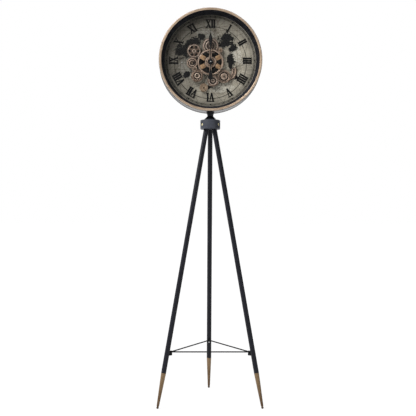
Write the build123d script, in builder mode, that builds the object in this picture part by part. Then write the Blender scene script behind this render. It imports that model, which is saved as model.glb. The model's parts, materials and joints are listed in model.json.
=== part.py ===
"""Tripod floor clock: a glazed clock head with open wheels, on a thin three-legged stand.

The clock stands on the floor plane, +Z up, and its dial faces -Y. The origin is on the
floor, below the middle of the clock's bounding box. All lengths are millimetres.
"""
import os
from math import atan, cos, hypot, pi, radians, sin, sqrt, tan

from build123d import *

# Fits between pieces
seat_gap = 0.05          # all round a piece that is seated in another
running_gap = 0.05       # between a shaft and its bore, on the radius
drop_gap = 0.3           # round a piece that only drops into place
slide_gap = 0.15         # between a sliding piece and its guides
end_float = 0.2          # along a shaft, at each side of what turns on it
cut_over = 6.0           # how far a cut runs past the face that it opens

# Stand
head_height = 1336.0     # middle of the dial above the floor
works_drop = 8.0         # of the hands' axis below the middle of the dial
foot_radius = 230.0      # leg centre line at the floor, from the stand's axis
leg_top_radius = 18.4    # leg centre line at the hub's underside
tube_radius = 9.5
tube_wall = 1.5
leg_bearings = {"front_left": 210, "front_right": 330, "rear": 90}

# Hub, with a socket and a recessed bolt for each leg
hub_radius = 39.0
hub_height = 36.0
hub_round = 2.5
socket_depth = 21.0
recess_radius = 7.0
recess_depth = 5.0
leg_bolt_height = 18.0   # above the hub's underside
leg_bolt_radius = 2.5
leg_bolt_head = 4.5
leg_bolt_head_height = 3.0
leg_bolt_bite = 7.0      # how far the bolt runs into the plug
bolt_socket_radius = 2.0
bolt_socket_depth = 1.5
plug_length = 40.0

# Ferrules and foot tips
ferrule_height = 133.0
ferrule_spigot = 30.0
ferrule_tip_radius = 4.8
ferrule_neck_radius = 3.2
ferrule_neck = 3.0       # length of the cone from the tip to the neck
ferrule_bevel = 1.0
tip_radius = 4.6
tip_flat = 0.4           # taken off the ball where it stands on the floor

# Brace
brace_height = 210.0
brace_inset = 14.8       # from a leg's centre line in to where two rods' centre lines meet
rod_radius = 2.5
rod_mitre = 12.0         # spare length at each end, before the mitre is cut
bracket_width = 8.0
bracket_above = 4.5      # above the rods' centre line
bracket_below = 13.0
bracket_reach = 4.2      # inwards, from where the rods meet
bracket_bury = 9.8       # outwards, into the space that the tube is cut from
brace_screw_drop = 7.5
brace_screw_radius = 1.5
brace_screw_head = 3.0
brace_screw_head_height = 1.5
brace_screw_length = 18.0

# Neck post, and the bolt through it
neck_height = 31.0
neck_foot_radius = 25.5
neck_foot_edge = 1.5
neck_waist_radius = 11.5
neck_waist_share = 0.5
neck_collar_radius = 15.0
neck_collar_share = 0.86
neck_bolt_radius = 4.0
neck_bolt_head = 7.0     # across the hexagon's corners, as a radius
neck_bolt_head_height = 5.0
neck_bolt_bite = 10.0    # into the hub
saddle_width = 40.0
saddle_depth = 22.0
saddle_thickness = 3.0

# Head: drum, rim, glass and inner ring. Depths count forwards from the stand's axis
dial_front = 12.0
rim_radius = 200.0
rim_width = 11.0
rim_lip = 2.0
rim_round = 1.4
rim_stand = 4.0          # how far the rim stands out of the drum
rim_skirt_wall = 5.0
rim_skirt_depth = 12.0
rim_groove_width = 1.2
rim_groove_depth = 0.8
rim_groove_share = 0.42  # of the rim's width, from its inner edge
drum_wall = 1.0
drum_bead = 1.5
drum_flange = 10.0
drum_flange_thickness = 1.5
glass_thickness = 3.0
glass_room = 3.0         # from the hand cap to the glass
liner_foot = 10.0        # how much further in the inner ring comes at the dial

# Dial and what is printed or raised on it
dial_inset = 8.0         # from the rim's outer edge to the dial's
dial_thickness = 2.0
dial_opening = 49.0
numeral_inset = 27.0     # from the minute marks to the middle of the numerals
numeral_height = 34.0
numeral_raise = 0.8
stroke_thick = 5.6
stroke_thin = 2.8
serif_height = 2.2
bar_cell = 8.6           # width that an upright stroke takes in a numeral
cross_cell = 21.0        # width that a V or an X takes
cross_lean_share = 0.34  # sideways reach of a slanting stroke, in cells
mark_inset = 8.0         # from the edge of the dial that shows to the minute marks
mark_length = 4.4
mark_width = 3.2

# Wheel plate and the wheels' posts
plate_radius = 118.0
plate_thickness = 2.0
post_radius = 2.0
post_shoulder = 2.8
post_cap_radius = 3.6
post_cap_height = 1.2

# Wheels: one module for the train, and the layers that they lie in
train_module = 1.5
wheel_width = 3.0
layer_gap = 1.2
first_gap = 1.5          # from the dial to the rearmost layer
ring_width = 2.0
small_width = 2.5
boss_height = 0.9
main_teeth = 68
main_rim_wall = 5.0
main_hub_radius = 22.0
main_hub_recess = 17.0
main_hub_recess_depth = 1.6
main_boss_radius = 9.0
spoke_width = 7.0
spoke_thickness = 4.0
spoke_count = 6
block_length = 19.0
block_width = 17.0
block_height = 2.5
block_radius = 34.5
block_bevel = 0.6
block_bearings = (30, 150, 210, 330)

# Bearings of the other wheels from the dial's centre, in degrees from the right
upper_left_bearing, upper_left_teeth = 145.7, 36
left_bearing, left_teeth = 183.2, 28
lower_left_bearing, lower_left_teeth = 226.1, 32
bottom_bearing, bottom_teeth = 277.7, 30
lower_right_bearing, lower_right_teeth = 313.9, 34
pinion_bearing, pinion_teeth = 50.7, 12
top_bearing, top_teeth = 90.0, 19
top_ring_teeth = 42
top_ring_hole = 23.5
top_collar_outer = 19.0
top_collar_inner = 15.5
top_spider_width = 6.0
step_teeth = 26          # the small wheel on the lower left wheel
small_bearing, small_teeth = 111.6, 12   # bearing from the lower left wheel

# Raised rings, hubs and holes of the wheels, as shares of their pitch radii
web_hole_count = 6
web_hole_ring_share = 0.6
web_hole_share = 0.17
web_hub_share = 0.32
web_bead_shares = (0.88, 0.82)
open_ring_shares = (0.62, 0.4)
open_ring_gap_share = 0.3
step_hub_share = 0.5
step_boss_share = 0.3
step_dish_shares = (0.8, 0.55)
bottom_ring_shares = (0.75, 0.6)
bottom_hub_share = 0.3
drive_ring_shares = (0.85, 0.72)
drive_hub_share = 0.45

# Fixed ornaments in front of the dial
bridge_right = 66.0
bridge_drop = 34.0
bridge_outer = 38.0
bridge_inner = 17.0
bridge_lands = ((34.5, 30.5), (23.0, 18.5))   # outer and inner radius of each raised ridge
bridge_land_height = 0.8
bridge_start = -92.0     # bearing of its lower end
bridge_sweep = 120.0
bridge_foot_radius = 3.0
bridge_foot_bearings = (280, 330, 20)
medallion_radius = 16.5
medallion_thickness = 3.0
medallion_bearing = 255.2
medallion_distance = 101.9
medallion_ring_outer = 12.5
medallion_ring_inner = 10.5
medallion_notches = 24
medallion_notch_radius = 0.9

# Hands
hour_length = 73.0
hour_width = 16.5
hour_stem = 3.0
hour_boss = 10.5
hour_leaf_shares = (0.38, 0.82, 0.97)     # start, widest place and end, of the hand's length
hour_point_share = 0.42      # of the leaf's width, halfway from the widest place to the end
minute_length = 128.0
minute_width = 15.5
minute_stem = 3.0
minute_boss = 7.0
minute_leaf_shares = (0.46, 0.69, 0.88)
minute_point_share = 0.3
hand_thickness = 1.2
hand_gap = 1.0           # from the foremost wheel to the hour hand
hand_spacing = 1.5
hand_tip = 0.5
leaf_middle_share = 0.55     # where an arc of the leaf's edge has its middle point
leaf_shoulder_share = 0.34   # of the leaf's width, at that point below the widest
cap_radius = 4.2
cap_height = 2.2
cap_round = 1.4

# Movement that drives the hands
movement_size = 56.0
movement_depth = 16.0
movement_wall = 1.5
movement_corner = 4.0
stem_radius = 5.0
hour_tube_radius = 2.8
minute_arbor_radius = 1.6
nut_radius = 9.0
nut_height = 3.0
clock_module = 0.4
cannon_teeth = 12
motion_teeth = 48
motion_pinion_teeth = 15
hour_teeth = 45
clock_wheel_width = 1.5
clock_layer_gap = 0.8
motion_pin_radius = 1.0
motion_pin_length = 8.0
knob_teeth = 16
knob_bearing = 45.0      # of the setting knob, from the motion wheel
knob_shaft_radius = 1.5
knob_radius = 6.0
knob_height = 5.0
knob_flutes = 16
knob_flute_radius = 0.5

# Dry cells
cell_radius = 7.1
cell_length = 49.0
cell_nub_radius = 2.7
cell_nub = 1.3
cell_room = 0.15
contact_room = 1.2       # for the spring contact at each end of a cell

# Drive that turns the wheels
drive_depth = 22.0
drive_wall = 1.5
drive_corner = 3.0
drive_module = 0.8
drive_wheel_teeth = 40
drive_wheel_width = 2.0
motor_teeth = 10
motor_radius = 9.0
motor_shaft_radius = 1.0
motor_shaft_bite = 6.0
drive_shaft_radius = 2.0
drive_tail = 3.0
drive_room = 0.6
door_thickness = 1.5
door_lip = 1.0
door_groove = 1.2
door_grip_count = 5
door_grip_pitch = 3.0
door_grip_width = 1.2
door_grip_depth = 0.5
rail_wall = 3.0
switch_travel = 3.0
switch_neck_width = 3.0
switch_neck_height = 2.8
switch_knob_width = 5.0
switch_knob_height = 4.4
switch_knob_stand = 2.0
switch_base_width = 8.0
switch_base_height = 5.0
switch_base_thickness = 1.0
switch_right = 6.0       # from the drive shaft
switch_drop = 8.5
ear_size = 8.0
ear_thickness = 2.0

# Back cover and its screws
cover_thickness = 1.5
cover_room = 22.0        # behind the drive, for a hand
window_width = 130.0
window_height = 118.0
window_right = 18.0
window_drop = 24.0
window_corner = 5.0
screw_radius = 1.5
screw_head = 3.0
screw_head_height = 1.5
screw_length = 6.0
screw_slot = 0.8
screw_slot_depth = 0.6
cover_screw_count = 6
dial_screw_count = 6
plate_screw_count = 4
plate_screw_inset = 6.0

# Tooth form, in modules and degrees
tip_share = 0.85
root_share = 1.1
thickness_share = 0.38   # of the pitch, that a tooth fills on the pitch circle
tooth_flank = 14.0

# Places along the stand
axis_height = head_height - works_drop
hub_top = head_height - (rim_radius + seat_gap + drum_wall) - neck_height
hub_bottom = hub_top - hub_height
leg_slope = (foot_radius - leg_top_radius) / hub_bottom
leg_tilt = atan(leg_slope)
tip_height = tip_radius - tip_flat
stand_y = -(foot_radius - leg_slope * tip_height) / 4

# Places along the head's axis, from the back to the front
dial_back = dial_front - dial_thickness
plate_front = dial_back
plate_back = plate_front - plate_thickness
movement_back = plate_back - movement_depth
drive_back = plate_back - drive_depth
cover_front = drive_back - cover_room
head_back = cover_front - cover_thickness
ring_layer = dial_front + first_gap
rear_layer = ring_layer + ring_width + layer_gap
front_layer = rear_layer + wheel_width + layer_gap
main_front = front_layer + wheel_width
step_layer = main_front + layer_gap
step_front = step_layer + small_width
hour_back = step_front + end_float + post_cap_height + hand_gap
minute_back = hour_back + hand_thickness + hand_spacing
hand_front = minute_back + hand_thickness
glass_back = hand_front + cap_height + glass_room
glass_front = glass_back + glass_thickness
rim_front = glass_front + rim_lip
drum_front = rim_front - rim_stand
stem_front = hour_back - layer_gap

# Radii of the head's shells
drum_inner = rim_radius + seat_gap
drum_outer = drum_inner + drum_wall
sight_radius = rim_radius - rim_width
glass_radius = rim_radius - rim_skirt_wall - drop_gap
liner_radius = drum_inner - seat_gap
dial_sight = sight_radius - liner_foot
dial_radius = rim_radius - dial_inset
mark_radius = dial_sight - mark_inset
numeral_radius = mark_radius - numeral_inset

# Places on the dial, right and up from the hands' axis
centre = (0, 0)
head_middle = (0, works_drop)


def face(depth, place=centre):
    """Plane square to the hands' axis, seen from the front, at a depth and a place on the dial."""
    right, up = place
    origin = (right, stand_y - depth, axis_height + up)
    return Plane(origin=origin, x_dir=(1, 0, 0), z_dir=(0, -1, 0))


def face_axis(place=head_middle):
    """Line through a place on the dial, square to it and forwards."""
    right, up = place
    return Axis((right, stand_y, axis_height + up), (0, -1, 0))


def face_section(place=head_middle, bearing=0):
    """Plane to draw a turned piece's half section on: across is radius, up is depth."""
    right, up = place
    across, rise = cos(radians(bearing)), sin(radians(bearing))
    origin = (right, stand_y, axis_height + up)
    return Plane(origin=origin, x_dir=(across, 0, rise), z_dir=(rise, 0, -across))


def outwards(bearing):
    """Level unit vector from the stand's axis towards a bearing."""
    return Vector(cos(radians(bearing)), sin(radians(bearing)), 0)


def leg_frame(bearing):
    """Plane square to a leg, with its origin where the leg's centre line meets the floor."""
    foot = Vector(0, stand_y, 0) + outwards(bearing) * foot_radius
    top = Vector(0, stand_y, hub_bottom) + outwards(bearing) * leg_top_radius
    return Plane(origin=foot, x_dir=outwards(bearing).cross(Vector(0, 0, 1)), z_dir=top - foot)


def leg_section(bearing):
    """Plane through a leg's centre line: across is radius, up is length along the leg."""
    frame = leg_frame(bearing)
    return Plane(origin=frame.origin, x_dir=frame.x_dir, z_dir=frame.x_dir.cross(frame.z_dir))


def leg_axis(bearing):
    frame = leg_frame(bearing)
    return Axis(frame.origin, frame.z_dir)


def along_leg(height):
    """Length along a leg's centre line up to a height above the floor."""
    return height / cos(leg_tilt)


def leg_radius(height):
    """Distance of a leg's centre line from the stand's axis at a height."""
    return foot_radius - leg_slope * height


brace_radius = leg_radius(brace_height) - brace_inset


def radial_plane(bearing, radius, height):
    """Plane that faces outwards on a bearing, at a radius and a height."""
    origin = Vector(0, stand_y, height) + outwards(bearing) * radius
    return Plane(origin=origin, x_dir=(0, 0, 1), z_dir=outwards(bearing))


def pitch_radius(teeth, module=train_module):
    return teeth * module / 2


def tip_circle(teeth, module=train_module):
    return pitch_radius(teeth, module) + tip_share * module


def wheel_points(teeth, turn=0, module=train_module):
    """Corners of a toothed wheel's outline, with a tooth centred on the angle turn."""
    pitch = pitch_radius(teeth, module)
    rise = tip_share * module
    fall = root_share * module
    half = thickness_share * pi * module / 2
    lean = tan(radians(tooth_flank))
    root_angle = (half + fall * lean) / (pitch - fall)
    tip_angle = (half - rise * lean) / (pitch + rise)
    points = []
    for tooth in range(teeth):
        middle = radians(turn + 360 * tooth / teeth)
        for radius, angle in (
            (pitch - fall, middle - root_angle),
            (pitch + rise, middle - tip_angle),
            (pitch + rise, middle + tip_angle),
            (pitch - fall, middle + root_angle),
        ):
            points.append((radius * cos(angle), radius * sin(angle)))
    return points


def mesh_turn(bearing, driver_teeth, driven_teeth, driver_turn=0):
    """Angle of a tooth of the driven wheel, so that its gap faces the driver's tooth."""
    ratio = driver_teeth / driven_teeth
    return bearing + 180 + (bearing - driver_turn) * ratio + 180 / driven_teeth


def mesh_place(bearing, driver_teeth, driven_teeth, start=centre, module=train_module):
    """Centre of a wheel in mesh with the one at start."""
    distance = pitch_radius(driver_teeth + driven_teeth, module)
    return (
        start[0] + distance * cos(radians(bearing)),
        start[1] + distance * sin(radians(bearing)),
    )


def polar_place(bearing, distance, start=centre):
    return (
        start[0] + distance * cos(radians(bearing)),
        start[1] + distance * sin(radians(bearing)),
    )


# Centres of the wheels on the dial
upper_left_place = mesh_place(upper_left_bearing, main_teeth, upper_left_teeth)
left_place = mesh_place(left_bearing, main_teeth, left_teeth)
lower_left_place = mesh_place(lower_left_bearing, main_teeth, lower_left_teeth)
bottom_place = mesh_place(bottom_bearing, main_teeth, bottom_teeth)
lower_right_place = mesh_place(lower_right_bearing, main_teeth, lower_right_teeth)
pinion_place = mesh_place(pinion_bearing, main_teeth, pinion_teeth)
top_place = mesh_place(top_bearing, main_teeth, top_teeth)
small_place = mesh_place(small_bearing, step_teeth, small_teeth, lower_left_place)
bridge_place = (bridge_right, -bridge_drop)
medallion_place = polar_place(medallion_bearing, medallion_distance)

# Where each post carries its wheel: place, back of the wheel and front of its hub
post_seats = [
    (upper_left_place, rear_layer, rear_layer + wheel_width + boss_height),
    (left_place, front_layer, main_front + boss_height),
    (lower_left_place, front_layer, step_front + boss_height / 2),
    (bottom_place, front_layer, main_front + boss_height),
    (pinion_place, rear_layer, main_front),
    (top_place, ring_layer, main_front + boss_height),
    (small_place, step_layer, step_front),
    (medallion_place, rear_layer, rear_layer + medallion_thickness),
]

# Layers inside the movement
movement_front = plate_back - movement_wall
hour_wheel_back = movement_front - end_float - clock_wheel_width
motion_back = hour_wheel_back - clock_layer_gap - clock_wheel_width
motion_bearing = 90.0
motion_place = mesh_place(motion_bearing, cannon_teeth, motion_teeth, centre, clock_module)
knob_place = mesh_place(knob_bearing, motion_teeth, knob_teeth, motion_place, clock_module)

# Layout of the drive, from its shaft outwards
drive_wheel_room = tip_circle(drive_wheel_teeth, drive_module) + drive_room
motor_bearing = 180.0
motor_place = mesh_place(
    motor_bearing, drive_wheel_teeth, motor_teeth, lower_right_place, drive_module
)
drive_right = lower_right_place[0] + drive_wheel_room + drive_wall
drive_top = lower_right_place[1] + drive_wheel_room + rail_wall
drive_bottom = lower_right_place[1] - drive_wheel_room - rail_wall
bay_right = motor_place[0] - motor_radius - drive_room - drive_wall
bay_length = cell_length + cell_nub + 2 * contact_room
bay_left = bay_right - bay_length
drive_left = bay_left - drive_wall
drive_middle = ((drive_left + drive_right) / 2, lower_right_place[1])
bay_middle = ((bay_left + bay_right) / 2, lower_right_place[1])
motor_room_left = bay_right + drive_wall
motor_room_middle = ((motor_room_left + drive_right - drive_wall) / 2, lower_right_place[1])
motor_room_width = drive_right - drive_wall - motor_room_left
drive_front = plate_back - drive_wall
drive_wheel_back = drive_front - end_float - drive_wheel_width
drive_inner_height = 2 * drive_wheel_room
switch_place = (lower_right_place[0] + switch_right, lower_right_place[1] - switch_drop)


# The stand

with BuildPart() as hub:
    with BuildSketch(Plane((0, stand_y, hub_bottom))):
        Circle(hub_radius)
    extrude(amount=hub_height)
    fillet(hub.edges().filter_by(GeomType.CIRCLE), hub_round)
    for bearing in leg_bearings.values():
        with BuildSketch(leg_frame(bearing).offset(along_leg(hub_bottom) - hub_height)):
            Circle(tube_radius + seat_gap)
        extrude(amount=hub_height + socket_depth, mode=Mode.SUBTRACT)
        with BuildSketch(radial_plane(bearing, hub_radius - recess_depth, hub_bottom + leg_bolt_height)):
            Circle(recess_radius)
        extrude(amount=recess_depth + cut_over, mode=Mode.SUBTRACT)
        with BuildSketch(radial_plane(bearing, leg_top_radius, hub_bottom + leg_bolt_height)):
            Circle(leg_bolt_radius + seat_gap)
        extrude(amount=hub_radius, mode=Mode.SUBTRACT)
    with BuildSketch(Plane((0, stand_y, hub_top))):
        Circle(neck_bolt_radius + seat_gap)
    extrude(amount=-(neck_bolt_bite + end_float), mode=Mode.SUBTRACT)

leg_end = along_leg(hub_bottom) + socket_depth - drop_gap
bolt_inner = leg_radius(hub_bottom + leg_bolt_height) + tube_radius - tube_wall - leg_bolt_bite
bolt_seat = hub_radius - recess_depth

legs = {}
for side, bearing in leg_bearings.items():
    with BuildPart() as leg:
        with BuildSketch(leg_frame(bearing).offset(along_leg(ferrule_height))):
            Circle(tube_radius)
            Circle(tube_radius - tube_wall, mode=Mode.SUBTRACT)
        extrude(amount=leg_end - along_leg(ferrule_height))
        with BuildSketch(radial_plane(bearing, leg_top_radius, hub_bottom + leg_bolt_height)):
            Circle(leg_bolt_radius + seat_gap)
        extrude(amount=hub_radius, mode=Mode.SUBTRACT)
        with BuildSketch(radial_plane(bearing, leg_radius(brace_height), brace_height - brace_screw_drop)):
            Circle(brace_screw_radius + seat_gap)
        extrude(amount=-2 * tube_radius, mode=Mode.SUBTRACT)
    legs["leg_" + side] = leg

with BuildPart() as leg_plugs:
    for bearing in leg_bearings.values():
        with BuildSketch(leg_frame(bearing).offset(leg_end - plug_length)):
            Circle(tube_radius - tube_wall - seat_gap)
        extrude(amount=plug_length)
    for bearing in leg_bearings.values():
        with BuildSketch(radial_plane(bearing, bolt_inner - end_float, hub_bottom + leg_bolt_height)):
            Circle(leg_bolt_radius + seat_gap)
        extrude(amount=hub_radius, mode=Mode.SUBTRACT)

with BuildPart() as leg_bolts:
    for bearing in leg_bearings.values():
        with BuildSketch(radial_plane(bearing, bolt_inner, hub_bottom + leg_bolt_height)):
            Circle(leg_bolt_radius)
        extrude(amount=bolt_seat - bolt_inner)
        with BuildSketch(radial_plane(bearing, bolt_seat, hub_bottom + leg_bolt_height)):
            Circle(leg_bolt_head)
            RegularPolygon(bolt_socket_radius, 6, mode=Mode.SUBTRACT)
        extrude(amount=leg_bolt_head_height)
        with BuildSketch(radial_plane(bearing, bolt_seat, hub_bottom + leg_bolt_height)):
            RegularPolygon(bolt_socket_radius, 6)
        extrude(amount=leg_bolt_head_height - bolt_socket_depth)

tip_centre = along_leg(tip_height)
tip_top = tip_centre + sqrt(tip_radius**2 - ferrule_neck_radius**2)

with BuildPart() as ferrules:
    for bearing in leg_bearings.values():
        collar = along_leg(ferrule_height)
        spigot = tube_radius - tube_wall - seat_gap
        with BuildSketch(leg_section(bearing)):
            Polygon(
                (0, tip_top),
                (ferrule_neck_radius, tip_top),
                (ferrule_tip_radius, tip_top + ferrule_neck),
                (tube_radius, collar - ferrule_bevel),
                (tube_radius - ferrule_bevel, collar),
                (spigot, collar),
                (spigot, collar + ferrule_spigot),
                (0, collar + ferrule_spigot),
                align=None,
            )
        revolve(axis=leg_axis(bearing))

with BuildPart() as foot_tips:
    for bearing in leg_bearings.values():
        with BuildSketch(leg_section(bearing)):
            with Locations((0, tip_centre)):
                Circle(tip_radius)
            with Locations((0, tip_top)):
                Rectangle(4 * tip_radius, tip_radius, align=(Align.CENTER, Align.MIN), mode=Mode.SUBTRACT)
            with Locations((0, tip_centre)):
                Rectangle(
                    2 * tip_radius, 4 * tip_radius, align=(Align.MAX, Align.CENTER), mode=Mode.SUBTRACT
                )
        revolve(axis=leg_axis(bearing))
    with BuildSketch(Plane((0, stand_y, 0))):
        Circle(2 * foot_radius)
    extrude(amount=-tip_radius, mode=Mode.SUBTRACT)


def brace_corner(bearing):
    return Vector(0, stand_y, brace_height) + outwards(bearing) * brace_radius


def rod_plane(start, end, spare):
    """Plane square to a rod, spare before the corner that it starts from."""
    run = brace_corner(end) - brace_corner(start)
    return Plane(origin=brace_corner(start) - run.normalized() * spare, z_dir=run)


def rod_span(start, end):
    return (brace_corner(end) - brace_corner(start)).length


def mitre_plane(corner, far):
    """Upright plane through the stand's axis and a corner, facing the rod's far end."""
    across = outwards(corner).cross(Vector(0, 0, 1))
    toward = 1 if across.dot(outwards(far)) > 0 else -1
    return Plane(origin=(0, stand_y, brace_height), x_dir=outwards(corner), z_dir=across * toward)


front_left, front_right, rear = (leg_bearings[side] for side in ("front_left", "front_right", "rear"))
rods = {}
for side, start, end in (
    ("front", front_left, front_right),
    ("left", front_left, rear),
    ("right", rear, front_right),
):
    with BuildPart() as rod:
        with BuildSketch(rod_plane(start, end, rod_mitre)):
            Circle(rod_radius)
        extrude(amount=rod_span(start, end) + 2 * rod_mitre)
        split(bisect_by=mitre_plane(start, end), keep=Keep.TOP)
        split(bisect_by=mitre_plane(end, start), keep=Keep.TOP)
    rods["brace_rod_" + side] = rod

bracket_inner = brace_radius - bracket_reach

with BuildPart() as brace_brackets:
    for bearing in leg_bearings.values():
        low = brace_height - bracket_below
        with BuildSketch(Plane(origin=(0, stand_y, low), x_dir=outwards(bearing), z_dir=(0, 0, 1))):
            with Locations((bracket_inner, 0)):
                Rectangle(
                    bracket_reach + bracket_bury, bracket_width, align=(Align.MIN, Align.CENTER)
                )
        extrude(amount=bracket_above + bracket_below)
    for bearing in leg_bearings.values():
        with BuildSketch(leg_frame(bearing)):
            Circle(tube_radius + seat_gap)
        extrude(amount=along_leg(2 * brace_height), mode=Mode.SUBTRACT)
        with BuildSketch(radial_plane(bearing, bracket_inner, brace_height - brace_screw_drop)):
            Circle(brace_screw_radius + seat_gap)
        extrude(amount=bracket_reach + bracket_bury, mode=Mode.SUBTRACT)
    for start, end in ((front_left, front_right), (front_left, rear), (rear, front_right)):
        with BuildSketch(rod_plane(start, end, rod_mitre)):
            Circle(rod_radius + seat_gap)
        extrude(amount=rod_span(start, end) + 2 * rod_mitre, mode=Mode.SUBTRACT)

with BuildPart() as brace_screws:
    for bearing in leg_bearings.values():
        with BuildSketch(radial_plane(bearing, bracket_inner, brace_height - brace_screw_drop)):
            Circle(brace_screw_radius)
        extrude(amount=brace_screw_length)
        with BuildSketch(radial_plane(bearing, bracket_inner, brace_height - brace_screw_drop)):
            Circle(brace_screw_head)
        extrude(amount=-brace_screw_head_height)

with BuildPart() as neck_post:
    waist = neck_height * neck_waist_share
    collar = neck_height * neck_collar_share
    above = neck_height + neck_foot_edge
    with BuildSketch(Plane(origin=(0, stand_y, hub_top), x_dir=(1, 0, 0), z_dir=(0, -1, 0))):
        with BuildLine():
            Polyline(
                (neck_bolt_radius + seat_gap, 0),
                (neck_foot_radius, 0),
                (neck_foot_radius, neck_foot_edge),
            )
            Line((neck_foot_radius, neck_foot_edge), (neck_waist_radius, waist))
            ThreePointArc(
                (neck_waist_radius, waist),
                (
                    (neck_collar_radius + neck_waist_radius) / 2 - neck_foot_edge / 2,
                    (collar + waist) / 2 + neck_foot_edge / 2,
                ),
                (neck_collar_radius, collar),
            )
            Polyline(
                (neck_collar_radius, collar),
                (neck_collar_radius, above),
                (neck_bolt_radius + seat_gap, above),
                (neck_bolt_radius + seat_gap, 0),
            )
        make_face()
    revolve(axis=Axis((0, stand_y, 0), (0, 0, 1)))
    with BuildSketch(face(-saddle_depth, head_middle)):
        Circle(drum_outer + seat_gap)
    extrude(amount=2 * saddle_depth, mode=Mode.SUBTRACT)

saddle_top = head_height - drum_inner + seat_gap + saddle_thickness

with BuildPart() as saddle_plate:
    with BuildSketch(face(-saddle_depth / 2, head_middle)):
        Circle(drum_inner - seat_gap)
        Circle(drum_inner - seat_gap - saddle_thickness, mode=Mode.SUBTRACT)
        with Locations((0, -drum_inner)):
            Rectangle(saddle_width, 2 * saddle_width, mode=Mode.INTERSECT)
    extrude(amount=saddle_depth)
    with BuildSketch(Plane((0, stand_y, hub_top))):
        Circle(neck_bolt_radius + seat_gap)
    extrude(amount=head_height - hub_top, mode=Mode.SUBTRACT)
    with BuildSketch(Plane((0, stand_y, saddle_top))):
        Circle(neck_bolt_head + seat_gap)
    extrude(amount=neck_bolt_head_height, mode=Mode.SUBTRACT)

with BuildPart() as neck_bolt:
    with BuildSketch(Plane((0, stand_y, hub_top - neck_bolt_bite))):
        Circle(neck_bolt_radius)
    extrude(amount=saddle_top - hub_top + neck_bolt_bite)
    with BuildSketch(Plane((0, stand_y, saddle_top))):
        RegularPolygon(neck_bolt_head, 6)
    extrude(amount=neck_bolt_head_height)


# The head's shells

bead_centre = head_back + drum_bead

with BuildPart() as drum:
    with BuildSketch(face_section()):
        with Locations((drum_inner, head_back)):
            Rectangle(drum_wall, drum_front - head_back, align=Align.MIN)
        with Locations((drum_inner - drum_flange, cover_front)):
            Rectangle(drum_flange + drum_wall / 2, drum_flange_thickness, align=Align.MIN)
        with Locations((drum_outer - drum_wall / 4, bead_centre)):
            Circle(drum_bead)
        with Locations((drum_inner, cover_front)):
            Rectangle(2 * drum_bead, 4 * drum_bead, align=(Align.MAX, Align.MAX), mode=Mode.SUBTRACT)
    revolve(axis=face_axis())
    with BuildSketch(face(cover_front - cut_over, head_middle)):
        with PolarLocations(drum_inner - drum_flange / 2, cover_screw_count):
            Circle(screw_radius + seat_gap)
    extrude(amount=2 * cut_over, mode=Mode.SUBTRACT)
    with BuildSketch(Plane((0, stand_y, hub_top))):
        Circle(neck_bolt_radius + seat_gap)
    extrude(amount=head_height - hub_top, mode=Mode.SUBTRACT)

skirt_inner = rim_radius - rim_skirt_wall
groove_middle = sight_radius + rim_groove_share * rim_width

with BuildPart() as rim:
    with BuildSketch(face_section()) as rim_profile:
        Polygon(
            (sight_radius, glass_front),
            (sight_radius, rim_front),
            (rim_radius, rim_front),
            (rim_radius, rim_front - rim_skirt_depth),
            (skirt_inner, rim_front - rim_skirt_depth),
            (skirt_inner, glass_front),
            align=None,
        )
        outer_corners = rim_profile.vertices().sort_by(Axis.Y)[:2]
        fillet(outer_corners, rim_round)
        with Locations((groove_middle, rim_front)):
            Rectangle(rim_groove_width, 2 * rim_groove_depth, mode=Mode.SUBTRACT)
    revolve(axis=face_axis())

with BuildPart() as glass:
    with BuildSketch(face(glass_back, head_middle)):
        Circle(glass_radius)
    extrude(amount=glass_thickness)

with BuildPart() as inner_ring:
    step_depth = rim_front - rim_skirt_depth - seat_gap
    with BuildSketch(face_section()):
        Polygon(
            (dial_sight, dial_front),
            (liner_radius, dial_front),
            (liner_radius, step_depth),
            (glass_radius, step_depth),
            (glass_radius, glass_back),
            (sight_radius, glass_back),
            align=None,
        )
    revolve(axis=face_axis())
    with BuildSketch(face(dial_front, head_middle)):
        with PolarLocations((dial_radius + dial_sight) / 2, dial_screw_count):
            Circle(screw_radius + seat_gap)
    extrude(amount=screw_length, mode=Mode.SUBTRACT)

shaft_hole = drive_shaft_radius + drop_gap
plate_screw_ring = plate_radius - plate_screw_inset

with BuildPart() as dial:
    with BuildSketch(face(dial_back, head_middle)):
        Circle(dial_radius)
        with PolarLocations((dial_radius + dial_sight) / 2, dial_screw_count):
            Circle(screw_radius + seat_gap, mode=Mode.SUBTRACT)
    extrude(amount=dial_thickness)
    with BuildSketch(face(dial_back)):
        Circle(dial_opening)
        for place, back, front in post_seats:
            if hypot(*place) > dial_opening:
                with Locations(place):
                    Circle(post_shoulder + drop_gap)
        with Locations(lower_right_place):
            Circle(shaft_hole)
        with PolarLocations(plate_screw_ring, plate_screw_count):
            Circle(screw_radius + seat_gap)
    extrude(amount=dial_thickness, mode=Mode.SUBTRACT)


def slanted(start, end, thick):
    """A stroke from the numeral's top edge to its bottom edge."""
    half = numeral_height / 2
    Polygon(
        (start - thick / 2, half),
        (start + thick / 2, half),
        (end + thick / 2, -half),
        (end - thick / 2, -half),
        align=None,
    )


def serif(middle, width, side):
    with Locations((middle, side * (numeral_height - serif_height) / 2)):
        Rectangle(width, serif_height)


def letter(kind, middle):
    """One letter of a numeral, between its head line and its foot line."""
    lean = cross_cell * cross_lean_share
    if kind == "I":
        with Locations((middle, 0)):
            Rectangle(stroke_thick, numeral_height)
        serif(middle, bar_cell, 1)
        serif(middle, bar_cell, -1)
        return
    for side in (-1, 1):
        serif(middle + side * cross_cell / 4, cross_cell / 2, 1)
    if kind == "V":
        slanted(middle - lean, middle, stroke_thick)
        slanted(middle + lean, middle, stroke_thin)
    else:
        slanted(middle - lean, middle + lean, stroke_thick)
        slanted(middle + lean, middle - lean, stroke_thin)
        for side in (-1, 1):
            serif(middle + side * lean, cross_cell / 2 - stroke_thin / 2, -1)


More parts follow.
